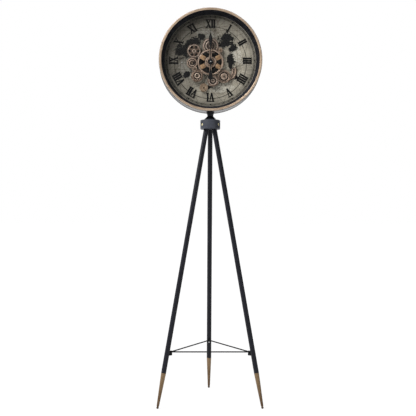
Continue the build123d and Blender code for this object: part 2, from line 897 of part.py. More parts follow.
numeral_words = ("XII", "I", "II", "III", "IIII", "V", "VI", "VII", "VIII", "IX", "X", "XI")

with BuildPart() as numerals:
    for hour, word in enumerate(numeral_words):
        bearing = 90 - 30 * hour
        x, z = polar_place(bearing, numeral_radius)
        up = Vector(cos(radians(bearing)), 0, sin(radians(bearing)))
        across = up.cross(Vector(0, -1, 0))
        origin = (x, stand_y - dial_front, head_height + z)
        with BuildSketch(Plane(origin=origin, x_dir=across, z_dir=(0, -1, 0))):
            cells = [bar_cell if kind == "I" else cross_cell for kind in word]
            left = -sum(cells) / 2
            for kind, cell in zip(word, cells):
                letter(kind, left + cell / 2)
                left += cell
        extrude(amount=numeral_raise)
    with BuildSketch(face(dial_front, head_middle)):
        with PolarLocations(mark_radius, 12):
            Polygon(
                (mark_length / 2, 0), (0, mark_width / 2), (-mark_length / 2, 0), (0, -mark_width / 2),
                align=None,
            )
    extrude(amount=numeral_raise)


# The wheel plate, its posts and the fixed ornaments

with BuildPart() as wheel_plate:
    with BuildSketch(face(plate_back)):
        Circle(plate_radius)
        Circle(stem_radius + seat_gap, mode=Mode.SUBTRACT)
        for place, back, front in post_seats:
            with Locations(place):
                Circle(post_radius + seat_gap, mode=Mode.SUBTRACT)
        with Locations(lower_right_place):
            Circle(drive_shaft_radius + running_gap, mode=Mode.SUBTRACT)
        with PolarLocations(plate_screw_ring, plate_screw_count):
            Circle(screw_radius + seat_gap, mode=Mode.SUBTRACT)
        for side in (-1, 1):
            reach = (drive_right - drive_left) / 2 + ear_size / 2
            with Locations((drive_middle[0] + side * reach, drive_middle[1])):
                Circle(screw_radius + seat_gap, mode=Mode.SUBTRACT)
    extrude(amount=plate_thickness)

with BuildPart() as wheel_posts:
    for place, back, front in post_seats:
        with BuildSketch(face(plate_back, place)):
            Circle(post_radius)
        extrude(amount=front + end_float - plate_back)
        with BuildSketch(face(plate_front, place)):
            Circle(post_shoulder)
        extrude(amount=back - end_float - plate_front)

with BuildPart() as post_caps:
    for place, back, front in post_seats:
        with BuildSketch(face(front + end_float, place)):
            Circle(post_cap_radius)
        extrude(amount=post_cap_height)

with BuildPart() as bridge_ring:
    with BuildSketch(face_section(bridge_place, bridge_start)):
        with Locations((bridge_inner, ring_layer)):
            Rectangle(bridge_outer - bridge_inner, ring_width - bridge_land_height, align=Align.MIN)
        for outer, inner in bridge_lands:
            with Locations((inner, ring_layer)):
                Rectangle(outer - inner, ring_width, align=Align.MIN)
    revolve(axis=face_axis(bridge_place), revolution_arc=bridge_sweep)
    with BuildSketch(face(dial_front, bridge_place)):
        for bearing in bridge_foot_bearings:
            with Locations(polar_place(bearing, (bridge_outer + bridge_inner) / 2)):
                Circle(bridge_foot_radius)
    extrude(amount=first_gap)

with BuildPart() as medallion:
    with BuildSketch(face(rear_layer, medallion_place)):
        Circle(medallion_radius)
        Circle(post_radius + seat_gap, mode=Mode.SUBTRACT)
        with PolarLocations(medallion_radius, medallion_notches):
            Circle(medallion_notch_radius, mode=Mode.SUBTRACT)
    extrude(amount=medallion_thickness - boss_height)
    with BuildSketch(face(rear_layer, medallion_place)):
        Circle(medallion_ring_outer)
        Circle(medallion_ring_inner, mode=Mode.SUBTRACT)
        Circle(post_cap_radius + boss_height)
        Circle(post_radius + seat_gap, mode=Mode.SUBTRACT)
    extrude(amount=medallion_thickness)


# The train of wheels

def bored_wheel(place, depth, teeth, turn, bore, width, module=train_module):
    """A toothed disc with a bore, at a place and a depth."""
    with BuildPart() as disc:
        with BuildSketch(face(depth, place)):
            Polygon(*wheel_points(teeth, turn, module), align=None)
            Circle(bore, mode=Mode.SUBTRACT)
        extrude(amount=width)
    return disc.part


def ring_on(place, depth, outer, inner, height):
    """A plain ring or collar that stands on a wheel."""
    with BuildPart() as ring:
        with BuildSketch(face(depth, place)):
            Circle(outer)
            Circle(inner, mode=Mode.SUBTRACT)
        extrude(amount=height)
    return ring.part


post_bore = post_radius + running_gap

with BuildPart() as main_wheel:
    main_inner = pitch_radius(main_teeth) - root_share * train_module - main_rim_wall
    with BuildSketch(face(rear_layer)):
        Polygon(*wheel_points(main_teeth), align=None)
        Circle(main_inner, mode=Mode.SUBTRACT)
    extrude(amount=main_front - rear_layer)
    with BuildSketch(face(main_front - spoke_thickness)):
        with PolarLocations((main_inner + main_rim_wall / 2) / 2, spoke_count, start_angle=30):
            Rectangle(main_inner + main_rim_wall / 2, spoke_width)
        Circle(main_hub_radius)
        Circle(stem_radius + running_gap, mode=Mode.SUBTRACT)
    extrude(amount=spoke_thickness)
    with BuildSketch(face(main_front)):
        Circle(main_hub_recess)
        Circle(main_boss_radius, mode=Mode.SUBTRACT)
    extrude(amount=-main_hub_recess_depth, mode=Mode.SUBTRACT)
    with BuildSketch(face(plate_front + nut_height + end_float)):
        Circle(main_boss_radius)
        Circle(stem_radius + running_gap, mode=Mode.SUBTRACT)
    extrude(amount=main_front - plate_front - nut_height - end_float)

with BuildPart() as wheel_blocks:
    for bearing in block_bearings:
        x, z = polar_place(bearing, block_radius)
        along = Vector(cos(radians(bearing)), 0, sin(radians(bearing)))
        origin = (x, stand_y - main_front, axis_height + z)
        with BuildSketch(Plane(origin=origin, x_dir=along, z_dir=(0, -1, 0))):
            Rectangle(block_length, block_width)
        extrude(amount=block_height)
    chamfer(wheel_blocks.faces().group_by(Axis.Y)[0].edges(), block_bevel)

with BuildPart() as upper_left_wheel:
    turn = mesh_turn(upper_left_bearing, main_teeth, upper_left_teeth)
    add(bored_wheel(upper_left_place, rear_layer, upper_left_teeth, turn, post_bore, wheel_width))
    web_radius = pitch_radius(upper_left_teeth)
    with BuildSketch(face(rear_layer, upper_left_place)):
        with PolarLocations(web_radius * web_hole_ring_share, web_hole_count):
            Circle(web_radius * web_hole_share)
    extrude(amount=wheel_width, mode=Mode.SUBTRACT)
    boss_depth = rear_layer + wheel_width
    outer, inner = (web_radius * share for share in web_bead_shares)
    add(ring_on(upper_left_place, boss_depth, web_radius * web_hub_share, post_bore, boss_height))
    add(ring_on(upper_left_place, boss_depth, outer, inner, boss_height))

with BuildPart() as left_wheel:
    turn = mesh_turn(left_bearing, main_teeth, left_teeth)
    add(bored_wheel(left_place, front_layer, left_teeth, turn, post_bore, wheel_width))
    web_radius = pitch_radius(left_teeth)
    outer, inner = (web_radius * share for share in open_ring_shares)
    with BuildSketch(face(main_front, left_place)):
        Circle(outer)
        Circle(inner, mode=Mode.SUBTRACT)
        with Locations(((outer + inner) / 2, 0)):
            Rectangle(outer, web_radius * open_ring_gap_share, mode=Mode.SUBTRACT)
        Circle(post_radius + 2 * boss_height)
        Circle(post_bore, mode=Mode.SUBTRACT)
    extrude(amount=boss_height)

with BuildPart() as lower_left_wheel:
    turn = mesh_turn(lower_left_bearing, main_teeth, lower_left_teeth)
    add(bored_wheel(lower_left_place, front_layer, lower_left_teeth, turn, post_bore, wheel_width))
    add(bored_wheel(lower_left_place, step_layer, step_teeth, 0, post_bore, small_width))
    web_radius = pitch_radius(step_teeth)
    outer, inner = (web_radius * share for share in step_dish_shares)
    add(ring_on(lower_left_place, main_front, web_radius * step_hub_share, post_bore, layer_gap))
    add(ring_on(lower_left_place, step_front, web_radius * step_boss_share, post_bore, boss_height / 2))
    with BuildSketch(face(step_front, lower_left_place)):
        Circle(outer)
        Circle(inner, mode=Mode.SUBTRACT)
    extrude(amount=-small_width / 2, mode=Mode.SUBTRACT)

with BuildPart() as small_wheel:
    turn = mesh_turn(small_bearing, step_teeth, small_teeth)
    add(bored_wheel(small_place, step_layer, small_teeth, turn, post_bore, small_width))

with BuildPart() as bottom_wheel:
    turn = mesh_turn(bottom_bearing, main_teeth, bottom_teeth)
    add(bored_wheel(bottom_place, front_layer, bottom_teeth, turn, post_bore, wheel_width))
    web_radius = pitch_radius(bottom_teeth)
    outer, inner = (web_radius * share for share in bottom_ring_shares)
    add(ring_on(bottom_place, main_front, outer, inner, boss_height))
    add(ring_on(bottom_place, main_front, web_radius * bottom_hub_share, post_bore, boss_height))

with BuildPart() as lower_right_wheel:
    turn = mesh_turn(lower_right_bearing, main_teeth, lower_right_teeth)
    bore = drive_shaft_radius + seat_gap
    add(bored_wheel(lower_right_place, rear_layer, lower_right_teeth, turn, bore, wheel_width))
    web_radius = pitch_radius(lower_right_teeth)
    boss_depth = rear_layer + wheel_width
    outer, inner = (web_radius * share for share in drive_ring_shares)
    add(ring_on(lower_right_place, boss_depth, outer, inner, boss_height))
    add(ring_on(lower_right_place, boss_depth, web_radius * drive_hub_share, bore, 2 * boss_height))

with BuildPart() as pinion_wheel:
    turn = mesh_turn(pinion_bearing, main_teeth, pinion_teeth)
    pinion_width = main_front - rear_layer
    add(bored_wheel(pinion_place, rear_layer, pinion_teeth, turn, post_bore, pinion_width))

with BuildPart() as top_wheel:
    turn = mesh_turn(top_bearing, main_teeth, top_teeth)
    add(bored_wheel(top_place, rear_layer, top_teeth, turn, post_bore, main_front - rear_layer))
    add(bored_wheel(top_place, ring_layer, top_ring_teeth, turn, top_ring_hole, ring_width))
    with BuildSketch(face(ring_layer, top_place)):
        Circle(top_collar_outer)
        with PolarLocations(top_ring_hole / 2, 4, start_angle=45):
            Rectangle(top_ring_hole + 2 * boss_height, top_spider_width)
        Circle(post_bore, mode=Mode.SUBTRACT)
    extrude(amount=ring_width)
    add(ring_on(top_place, ring_layer + ring_width, top_collar_outer, top_collar_inner, boss_height))
    hub_tip = pitch_radius(top_teeth) - root_share * train_module
    add(ring_on(top_place, ring_layer + ring_width, hub_tip, post_bore, layer_gap))
    add(ring_on(top_place, main_front, hub_tip / 2, post_bore, boss_height))


# Hands

def hand(depth, length, width, stem, leaf_shares, point_share, boss, bore, side):
    """A spade hand: boss, stem, leaf and tip. side is 1 if it points up at rest, -1 if down."""
    half_stem = stem / 2
    leaf_start, leaf_widest, leaf_end = (length * share for share in leaf_shares)
    shoulder = leaf_start + (leaf_widest - leaf_start) * leaf_middle_share
    point = leaf_widest + (leaf_end - leaf_widest) * leaf_middle_share
    with BuildPart() as blade:
        with BuildSketch(face(depth)):
            with BuildLine():
                Line((half_stem, 0), (half_stem, side * leaf_start))
                ThreePointArc(
                    (half_stem, side * leaf_start),
                    (width * leaf_shoulder_share, side * shoulder),
                    (width / 2, side * leaf_widest),
                )
                ThreePointArc(
                    (width / 2, side * leaf_widest),
                    (width * point_share, side * point),
                    (half_stem / 2, side * leaf_end),
                )
                Polyline(
                    (half_stem / 2, side * leaf_end),
                    (hand_tip, side * length),
                    (0, side * length),
                    (0, 0),
                    (half_stem, 0),
                )
            make_face()
            mirror(about=Plane.YZ)
            Circle(boss)
            Circle(bore, mode=Mode.SUBTRACT)
        extrude(amount=hand_thickness)
    return blade


hour_hand = hand(
    hour_back, hour_length, hour_width, hour_stem, hour_leaf_shares, hour_point_share,
    hour_boss, hour_tube_radius + seat_gap, -1,
)
minute_hand = hand(
    minute_back, minute_length, minute_width, minute_stem, minute_leaf_shares, minute_point_share,
    minute_boss, minute_arbor_radius + seat_gap, 1,
)

with BuildPart() as hand_cap:
    with BuildSketch(face(hand_front)):
        Circle(cap_radius)
    extrude(amount=cap_height)
    fillet(hand_cap.faces().sort_by(Axis.Y)[0].edges(), cap_round)


# The movement

with BuildPart() as movement_case:
    with BuildSketch(face(plate_back)):
        RectangleRounded(movement_size, movement_size, movement_corner)
    extrude(amount=-movement_depth)
    bay_height = 2 * (cell_radius + cell_room)
    room = movement_size - 2 * movement_wall
    upper = room - bay_height - movement_wall
    with BuildSketch(face(movement_front)):
        with Locations((0, room / 2)):
            Rectangle(room, upper, align=(Align.CENTER, Align.MAX))
        with Locations((0, -room / 2)):
            Rectangle(room, bay_height, align=(Align.CENTER, Align.MIN))
    extrude(amount=-movement_depth, mode=Mode.SUBTRACT)
    with BuildSketch(face(movement_front)):
        Circle(stem_radius)
    extrude(amount=stem_front - movement_front)
    with BuildSketch(face(movement_back)):
        Circle(hour_tube_radius + running_gap)
    extrude(amount=stem_front - movement_back, mode=Mode.SUBTRACT)
    with BuildSketch(face(movement_front, motion_place)):
        Circle(motion_pin_radius)
    extrude(amount=-motion_pin_length)

movement_upper = room / 2 - upper / 2

with BuildPart() as movement_cover:
    with BuildSketch(face(movement_back, (0, movement_upper))):
        Rectangle(room - 2 * seat_gap, upper - 2 * seat_gap)
    extrude(amount=movement_wall)
    with BuildSketch(face(movement_back)):
        Circle(minute_arbor_radius + running_gap)
        with Locations(knob_place):
            Circle(knob_shaft_radius + running_gap)
    extrude(amount=movement_wall, mode=Mode.SUBTRACT)

with BuildPart() as stem_nuts:
    with BuildSketch(face(plate_front)):
        RegularPolygon(nut_radius, 6)
        Circle(stem_radius + seat_gap, mode=Mode.SUBTRACT)
    extrude(amount=nut_height)
    with BuildSketch(face(main_front + end_float)):
        RegularPolygon(nut_radius, 6)
        Circle(stem_radius + seat_gap, mode=Mode.SUBTRACT)
    extrude(amount=stem_front - main_front - end_float)

with BuildPart() as hour_tube:
    motion_turn = mesh_turn(motion_bearing, cannon_teeth, motion_teeth)
    hour_turn = mesh_turn(motion_bearing + 180, motion_pinion_teeth, hour_teeth, motion_turn)
    bore = minute_arbor_radius + running_gap
    add(bored_wheel(centre, hour_wheel_back, hour_teeth, hour_turn, bore, clock_wheel_width, clock_module))
    tube_length = hour_back + hand_thickness - hour_wheel_back
    add(ring_on(centre, hour_wheel_back, hour_tube_radius, bore, tube_length))

with BuildPart() as minute_arbor:
    with BuildSketch(face(movement_back + end_float)):
        Circle(minute_arbor_radius)
    extrude(amount=hand_front - movement_back - end_float)
    with BuildSketch(face(motion_back)):
        Polygon(*wheel_points(cannon_teeth, 0, clock_module), align=None)
    extrude(amount=clock_wheel_width)

with BuildPart() as motion_wheel:
    bore = motion_pin_radius + running_gap
    add(bored_wheel(
        motion_place, motion_back, motion_teeth, motion_turn, bore, clock_wheel_width, clock_module
    ))
    add(bored_wheel(
        motion_place, motion_back, motion_pinion_teeth, motion_turn, bore,
        hour_wheel_back + clock_wheel_width - motion_back, clock_module,
    ))

with BuildPart() as setting_knob:
    knob_turn = mesh_turn(knob_bearing, motion_teeth, knob_teeth, motion_turn)
    with BuildSketch(face(motion_back, knob_place)):
        Polygon(*wheel_points(knob_teeth, knob_turn, clock_module), align=None)
    extrude(amount=clock_wheel_width)
    with BuildSketch(face(movement_back - end_float, knob_place)):
        Circle(knob_shaft_radius)
    extrude(amount=motion_back - movement_back + end_float)
    with BuildSketch(face(movement_back - end_float, knob_place)):
        Circle(knob_radius)
        with PolarLocations(knob_radius, knob_flutes):
            Circle(knob_flute_radius, mode=Mode.SUBTRACT)
    extrude(amount=-knob_height)


# The drive

def box_cut(left, right, low, high, depth, amount):
    """Cuts a straight pocket out of the piece that is being built."""
    middle = ((left + right) / 2, (low + high) / 2)
    with BuildPart(mode=Mode.PRIVATE) as pocket:
        with BuildSketch(face(depth, middle)):
            Rectangle(right - left, high - low)
        extrude(amount=amount)
    return pocket.part


with BuildPart() as drive_case:
    with BuildSketch(face(plate_back, drive_middle)):
        RectangleRounded(drive_right - drive_left, drive_top - drive_bottom, drive_corner)
    extrude(amount=-drive_depth)
    room_low = drive_bottom + rail_wall
    room_high = drive_top - rail_wall
    add(box_cut(bay_left, bay_right, room_low, room_high, drive_front, -drive_depth), mode=Mode.SUBTRACT)
    add(
        box_cut(motor_room_left, drive_right - drive_wall, room_low, room_high, drive_front, -drive_depth),
        mode=Mode.SUBTRACT,
    )
    groove_depth = drive_back + door_lip
    groove_width = door_thickness + 2 * slide_gap
    add(
        box_cut(
            drive_left - cut_over, bay_right, room_low - door_groove, room_high + door_groove,
            groove_depth, groove_width,
        ),
        mode=Mode.SUBTRACT,
    )
    add(
        box_cut(
            drive_left - cut_over, bay_right, room_low, room_high,
            drive_back, groove_width + door_lip,
        ),
        mode=Mode.SUBTRACT,
    )
    with BuildSketch(face(plate_back, drive_middle)):
        for side in (-1, 1):
            reach = (drive_right - drive_left) / 2
            with Locations((side * (reach + ear_size / 2 - drive_wall / 2), 0)):
                Rectangle(ear_size + drive_wall, ear_size)
    extrude(amount=-ear_thickness)
    add(
        box_cut(bay_left, bay_right, room_low, room_high, drive_front, -ear_thickness), mode=Mode.SUBTRACT
    )
    with BuildSketch(face(plate_back)):
        for side in (-1, 1):
            reach = (drive_right - drive_left) / 2 + ear_size / 2
            with Locations((drive_middle[0] + side * reach, drive_middle[1])):
                Circle(screw_radius + seat_gap)
        with Locations(lower_right_place):
            Circle(drive_shaft_radius + running_gap)
    extrude(amount=-ear_thickness, mode=Mode.SUBTRACT)

with BuildPart() as drive_cover:
    with BuildSketch(face(drive_back, motor_room_middle)):
        Rectangle(motor_room_width - 2 * seat_gap, drive_inner_height - 2 * seat_gap)
    extrude(amount=drive_wall)
    slot_width = switch_neck_width + switch_travel + 2 * slide_gap
    slot_left = switch_place[0] - switch_neck_width / 2 - slide_gap
    slot_low = switch_place[1] - switch_neck_height / 2 - slide_gap
    slot_high = switch_place[1] + switch_neck_height / 2 + slide_gap
    add(
        box_cut(slot_left, slot_left + slot_width, slot_low, slot_high, drive_back, drive_wall),
        mode=Mode.SUBTRACT,
    )

with BuildPart() as drive_switch:
    with BuildSketch(face(drive_back + drive_wall + slide_gap, switch_place)):
        Rectangle(switch_base_width, switch_base_height)
    extrude(amount=switch_base_thickness)
    with BuildSketch(face(drive_back - switch_knob_stand, switch_place)):
        Rectangle(switch_neck_width, switch_neck_height)
    extrude(amount=drive_wall + slide_gap + switch_knob_stand)
    with BuildSketch(face(drive_back - slide_gap, switch_place)):
        Rectangle(switch_knob_width, switch_knob_height)
    extrude(amount=-switch_knob_stand)

motor_front = drive_wheel_back - layer_gap
motor_back = drive_back + drive_wall

with BuildPart() as drive_motor:
    with BuildSketch(face(motor_back, motor_place)):
        Circle(motor_radius)
    extrude(amount=motor_front - motor_back)
    with BuildSketch(face(motor_front, motor_place)):
        Circle(motor_shaft_radius + running_gap)
    extrude(amount=-motor_shaft_bite, mode=Mode.SUBTRACT)

with BuildPart() as motor_pinion:
    pinion_turn = mesh_turn(motor_bearing, drive_wheel_teeth, motor_teeth)
    with BuildSketch(face(drive_wheel_back, motor_place)):
        Polygon(*wheel_points(motor_teeth, pinion_turn, drive_module), align=None)
    extrude(amount=drive_wheel_width)
    with BuildSketch(face(motor_front - motor_shaft_bite + end_float, motor_place)):
        Circle(motor_shaft_radius)
    extrude(amount=drive_wheel_back - motor_front + motor_shaft_bite - end_float)

shaft_front = rear_layer + wheel_width + 2 * boss_height + end_float

with BuildPart() as drive_shaft:
    with BuildSketch(face(drive_wheel_back - drive_tail, lower_right_place)):
        Circle(drive_shaft_radius)
    extrude(amount=shaft_front - drive_wheel_back + drive_tail)
    with BuildSketch(face(drive_wheel_back, lower_right_place)):
        Polygon(*wheel_points(drive_wheel_teeth, 0, drive_module), align=None)
    extrude(amount=drive_wheel_width)
    with BuildSketch(face(shaft_front, lower_right_place)):
        Circle(post_cap_radius)
    extrude(amount=post_cap_height)

with BuildPart() as battery_door:
    door_width = bay_right - drive_left - slide_gap
    door_height = drive_inner_height + 2 * door_groove - 2 * slide_gap
    door_middle = (drive_left + door_width / 2, bay_middle[1])
    with BuildSketch(face(groove_depth + slide_gap, door_middle)):
        Rectangle(door_width, door_height)
    extrude(amount=door_thickness)
    with BuildSketch(face(groove_depth + slide_gap, door_middle)):
        with Locations((-door_width / 4, 0)):
            with GridLocations(door_grip_pitch, 0, door_grip_count, 1):
                Rectangle(door_grip_width, door_height / 2)
    extrude(amount=door_grip_depth, mode=Mode.SUBTRACT)

with BuildPart() as cells:
    cell_depth = movement_front - cell_room - cell_radius
    cell_row = -room / 2 + cell_room + cell_radius
    row_gap = cell_radius + cell_room
    half_cell = (cell_length + cell_nub) / 2
    for middle, height, depth in (
        (0, cell_row, cell_depth),
        (bay_middle[0], bay_middle[1] + row_gap, drive_front - cell_room - cell_radius),
        (bay_middle[0], bay_middle[1] - row_gap, drive_front - cell_room - cell_radius),
    ):
        end = Vector(middle - half_cell, stand_y - depth, axis_height + height)
        with BuildSketch(Plane(origin=end, z_dir=(1, 0, 0))):
            Circle(cell_radius)
        extrude(amount=cell_length)
        with BuildSketch(Plane(origin=end, z_dir=(1, 0, 0))):
            Circle(cell_nub_radius)
        extrude(amount=cell_length + cell_nub)


# The back cover and the screws

with BuildPart() as back_cover:
    with BuildSketch(face(head_back, head_middle)):
        Circle(drum_inner - drop_gap)
        with Locations((window_right, -works_drop - window_drop)):
            RectangleRounded(window_width, window_height, window_corner, mode=Mode.SUBTRACT)
        with PolarLocations(drum_inner - drum_flange / 2, cover_screw_count):
            Circle(screw_radius + seat_gap, mode=Mode.SUBTRACT)
    extrude(amount=cover_thickness)


def panel_screw(place, depth, length):
    """A slotted screw with its head behind a panel whose back is at depth."""
    with BuildPart() as screw:
        with BuildSketch(face(depth - screw_head_height, place)):
            Circle(screw_head)
        extrude(amount=screw_head_height)
        with BuildSketch(face(depth - screw_head_height, place)):
            Rectangle(2 * screw_head, screw_slot)
        extrude(amount=screw_slot_depth, mode=Mode.SUBTRACT)
        with BuildSketch(face(depth, place)):
            Circle(screw_radius)
        extrude(amount=length)
    return screw.part


with BuildPart() as panel_screws:
    for step in range(cover_screw_count):
        reach = drum_inner - drum_flange / 2
        place = polar_place(360 * step / cover_screw_count, reach, head_middle)
        add(panel_screw(place, head_back, screw_length))
    for step in range(dial_screw_count):
        reach = (dial_radius + dial_sight) / 2
        place = polar_place(360 * step / dial_screw_count, reach, head_middle)
        add(panel_screw(place, dial_back, screw_length))
    for step in range(plate_screw_count):
        place = polar_place(360 * step / plate_screw_count, plate_screw_ring)
        add(panel_screw(place, plate_back, plate_thickness + dial_thickness))
    for side in (-1, 1):
        reach = (drive_right - drive_left) / 2 + ear_size / 2
        place = (drive_middle[0] + side * reach, drive_middle[1])
        add(panel_screw(place, plate_back - ear_thickness, ear_thickness + plate_thickness))


pieces = {
    "hub": hub, "leg_plugs": leg_plugs, "leg_bolts": leg_bolts, "ferrules": ferrules,
    "foot_tips": foot_tips, "brace_brackets": brace_brackets, "brace_screws": brace_screws,
    "neck_post": neck_post, "saddle_plate": saddle_plate, "neck_bolt": neck_bolt,
    "drum": drum, "rim": rim, "glass": glass, "inner_ring": inner_ring, "dial": dial,
    "numerals": numerals, "wheel_plate": wheel_plate, "wheel_posts": wheel_posts,
    "post_caps": post_caps, "bridge_ring": bridge_ring, "medallion": medallion,
    "main_wheel": main_wheel, "wheel_blocks": wheel_blocks, "upper_left_wheel": upper_left_wheel,
    "left_wheel": left_wheel, "lower_left_wheel": lower_left_wheel, "small_wheel": small_wheel,
    "bottom_wheel": bottom_wheel, "lower_right_wheel": lower_right_wheel,
    "pinion_wheel": pinion_wheel, "top_wheel": top_wheel, "hour_hand": hour_hand,
    "minute_hand": minute_hand, "hand_cap": hand_cap, "movement_case": movement_case,
    "movement_cover": movement_cover, "stem_nuts": stem_nuts, "hour_tube": hour_tube,
    "minute_arbor": minute_arbor, "motion_wheel": motion_wheel, "setting_knob": setting_knob,
    "drive_case": drive_case, "drive_cover": drive_cover, "drive_switch": drive_switch,
    "drive_motor": drive_motor, "motor_pinion": motor_pinion, "drive_shaft": drive_shaft,
    "battery_door": battery_door, "cells": cells, "back_cover": back_cover,
    "panel_screws": panel_screws,
}
pieces.update(legs)
pieces.update(rods)

os.makedirs("parts", exist_ok=True)
for name, piece in pieces.items():
    piece.part.label = name
    export_step(piece.part, f"parts/{name}.step")
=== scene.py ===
"""The looks of a tripod floor clock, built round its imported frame.

Metres, +Z up, dial towards -Y. Sizes written in millimetres are multiplied by mm.
"""

import json
from math import atan2, cos, hypot, pi, radians, sin, tan

import bmesh
import bpy
from mathutils import Matrix, Vector

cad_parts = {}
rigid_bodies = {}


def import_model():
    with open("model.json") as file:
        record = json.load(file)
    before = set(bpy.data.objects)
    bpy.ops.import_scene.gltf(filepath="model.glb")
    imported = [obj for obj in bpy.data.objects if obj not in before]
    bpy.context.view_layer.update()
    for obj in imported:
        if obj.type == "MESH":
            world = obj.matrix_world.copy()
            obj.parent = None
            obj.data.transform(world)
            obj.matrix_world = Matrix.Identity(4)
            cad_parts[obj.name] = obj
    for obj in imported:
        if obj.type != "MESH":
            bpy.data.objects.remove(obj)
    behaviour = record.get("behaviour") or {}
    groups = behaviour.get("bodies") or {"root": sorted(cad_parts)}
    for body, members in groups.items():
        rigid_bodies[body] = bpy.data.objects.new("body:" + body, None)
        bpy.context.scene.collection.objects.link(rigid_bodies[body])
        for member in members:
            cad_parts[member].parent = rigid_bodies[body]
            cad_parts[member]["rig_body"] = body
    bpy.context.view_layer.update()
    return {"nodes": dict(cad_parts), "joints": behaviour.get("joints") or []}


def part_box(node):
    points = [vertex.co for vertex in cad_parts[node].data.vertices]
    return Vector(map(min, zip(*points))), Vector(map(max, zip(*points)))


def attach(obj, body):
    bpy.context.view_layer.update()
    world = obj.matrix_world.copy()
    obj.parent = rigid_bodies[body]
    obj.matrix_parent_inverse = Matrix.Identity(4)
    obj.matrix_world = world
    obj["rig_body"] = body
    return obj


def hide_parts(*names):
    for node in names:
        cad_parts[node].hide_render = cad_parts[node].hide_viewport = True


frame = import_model()

mm = 0.001

# The camera, fitted to the photograph's feet, brace, hub and head
camera_place = Vector((-0.0455, -3.117, 0.763))
camera_lens = 67.4
sensor_width = 36
camera_turn = -0.70
camera_dip = 0.07
camera_roll = 0.14

# Places on the head, from the frame
rim_low, rim_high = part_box("rim")
head = Vector(((rim_low.x + rim_high.x) / 2, rim_low.y, (rim_low.z + rim_high.z) / 2))
rim_radius = (rim_high.x - rim_low.x) / 2
rim_front = rim_low.y
dial_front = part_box("dial")[0].y
plate_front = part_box("wheel_plate")[0].y
wheel_place = {
    joint["child"]: Vector(joint["pos_m"]) for joint in frame["joints"] if joint["type"] == "hinge"
}
works = wheel_place["minute_hand"]

# Teeth, as the solids have them
train_module = 1.5 * mm
tip_share = 0.85
root_share = 1.1
thickness_share = 0.38
tooth_flank = radians(14)
tooth_chamfer = 0.22 * mm
main_teeth = 68
train_teeth = {
    "upper_left_wheel": 36, "left_wheel": 28, "lower_left_wheel": 32, "bottom_wheel": 30,
    "lower_right_wheel": 34, "pinion_wheel": 12, "top_wheel": 19,
}
bridge_place = works + Vector((66, 0, -34)) * mm
bridge_outer = 38 * mm
bridge_inner = 17 * mm
bridge_start = -92
bridge_sweep = 120
bridge_feet = (280, 330, 20)
bridge_pins = 9
step_teeth = 26
small_teeth = 12
top_ring_teeth = 42
wheel_width = 3.0 * mm
ring_width = 2.0 * mm
small_width = 2.5 * mm
post_bore = 2.05 * mm
boss_rise = 0.9 * mm
main_bore = 5.05 * mm
main_boss = 9.0 * mm
main_hub = 22.0 * mm
sharp_angle = 32
softened_angle = 35


# Node trees

class Wire:
    """One value in a material's node tree. Arithmetic on it adds Math nodes."""

    def __init__(self, graph, socket):
        self.graph = graph
        self.socket = socket

    def __add__(self, other):
        return self.graph.math("ADD", self, other)

    def __sub__(self, other):
        return self.graph.math("SUBTRACT", self, other)

    def __mul__(self, other):
        return self.graph.math("MULTIPLY", self, other)

    def __truediv__(self, other):
        return self.graph.math("DIVIDE", self, other)

    def __rsub__(self, other):
        return self.graph.math("SUBTRACT", other, self)

    __radd__ = __add__
    __rmul__ = __mul__


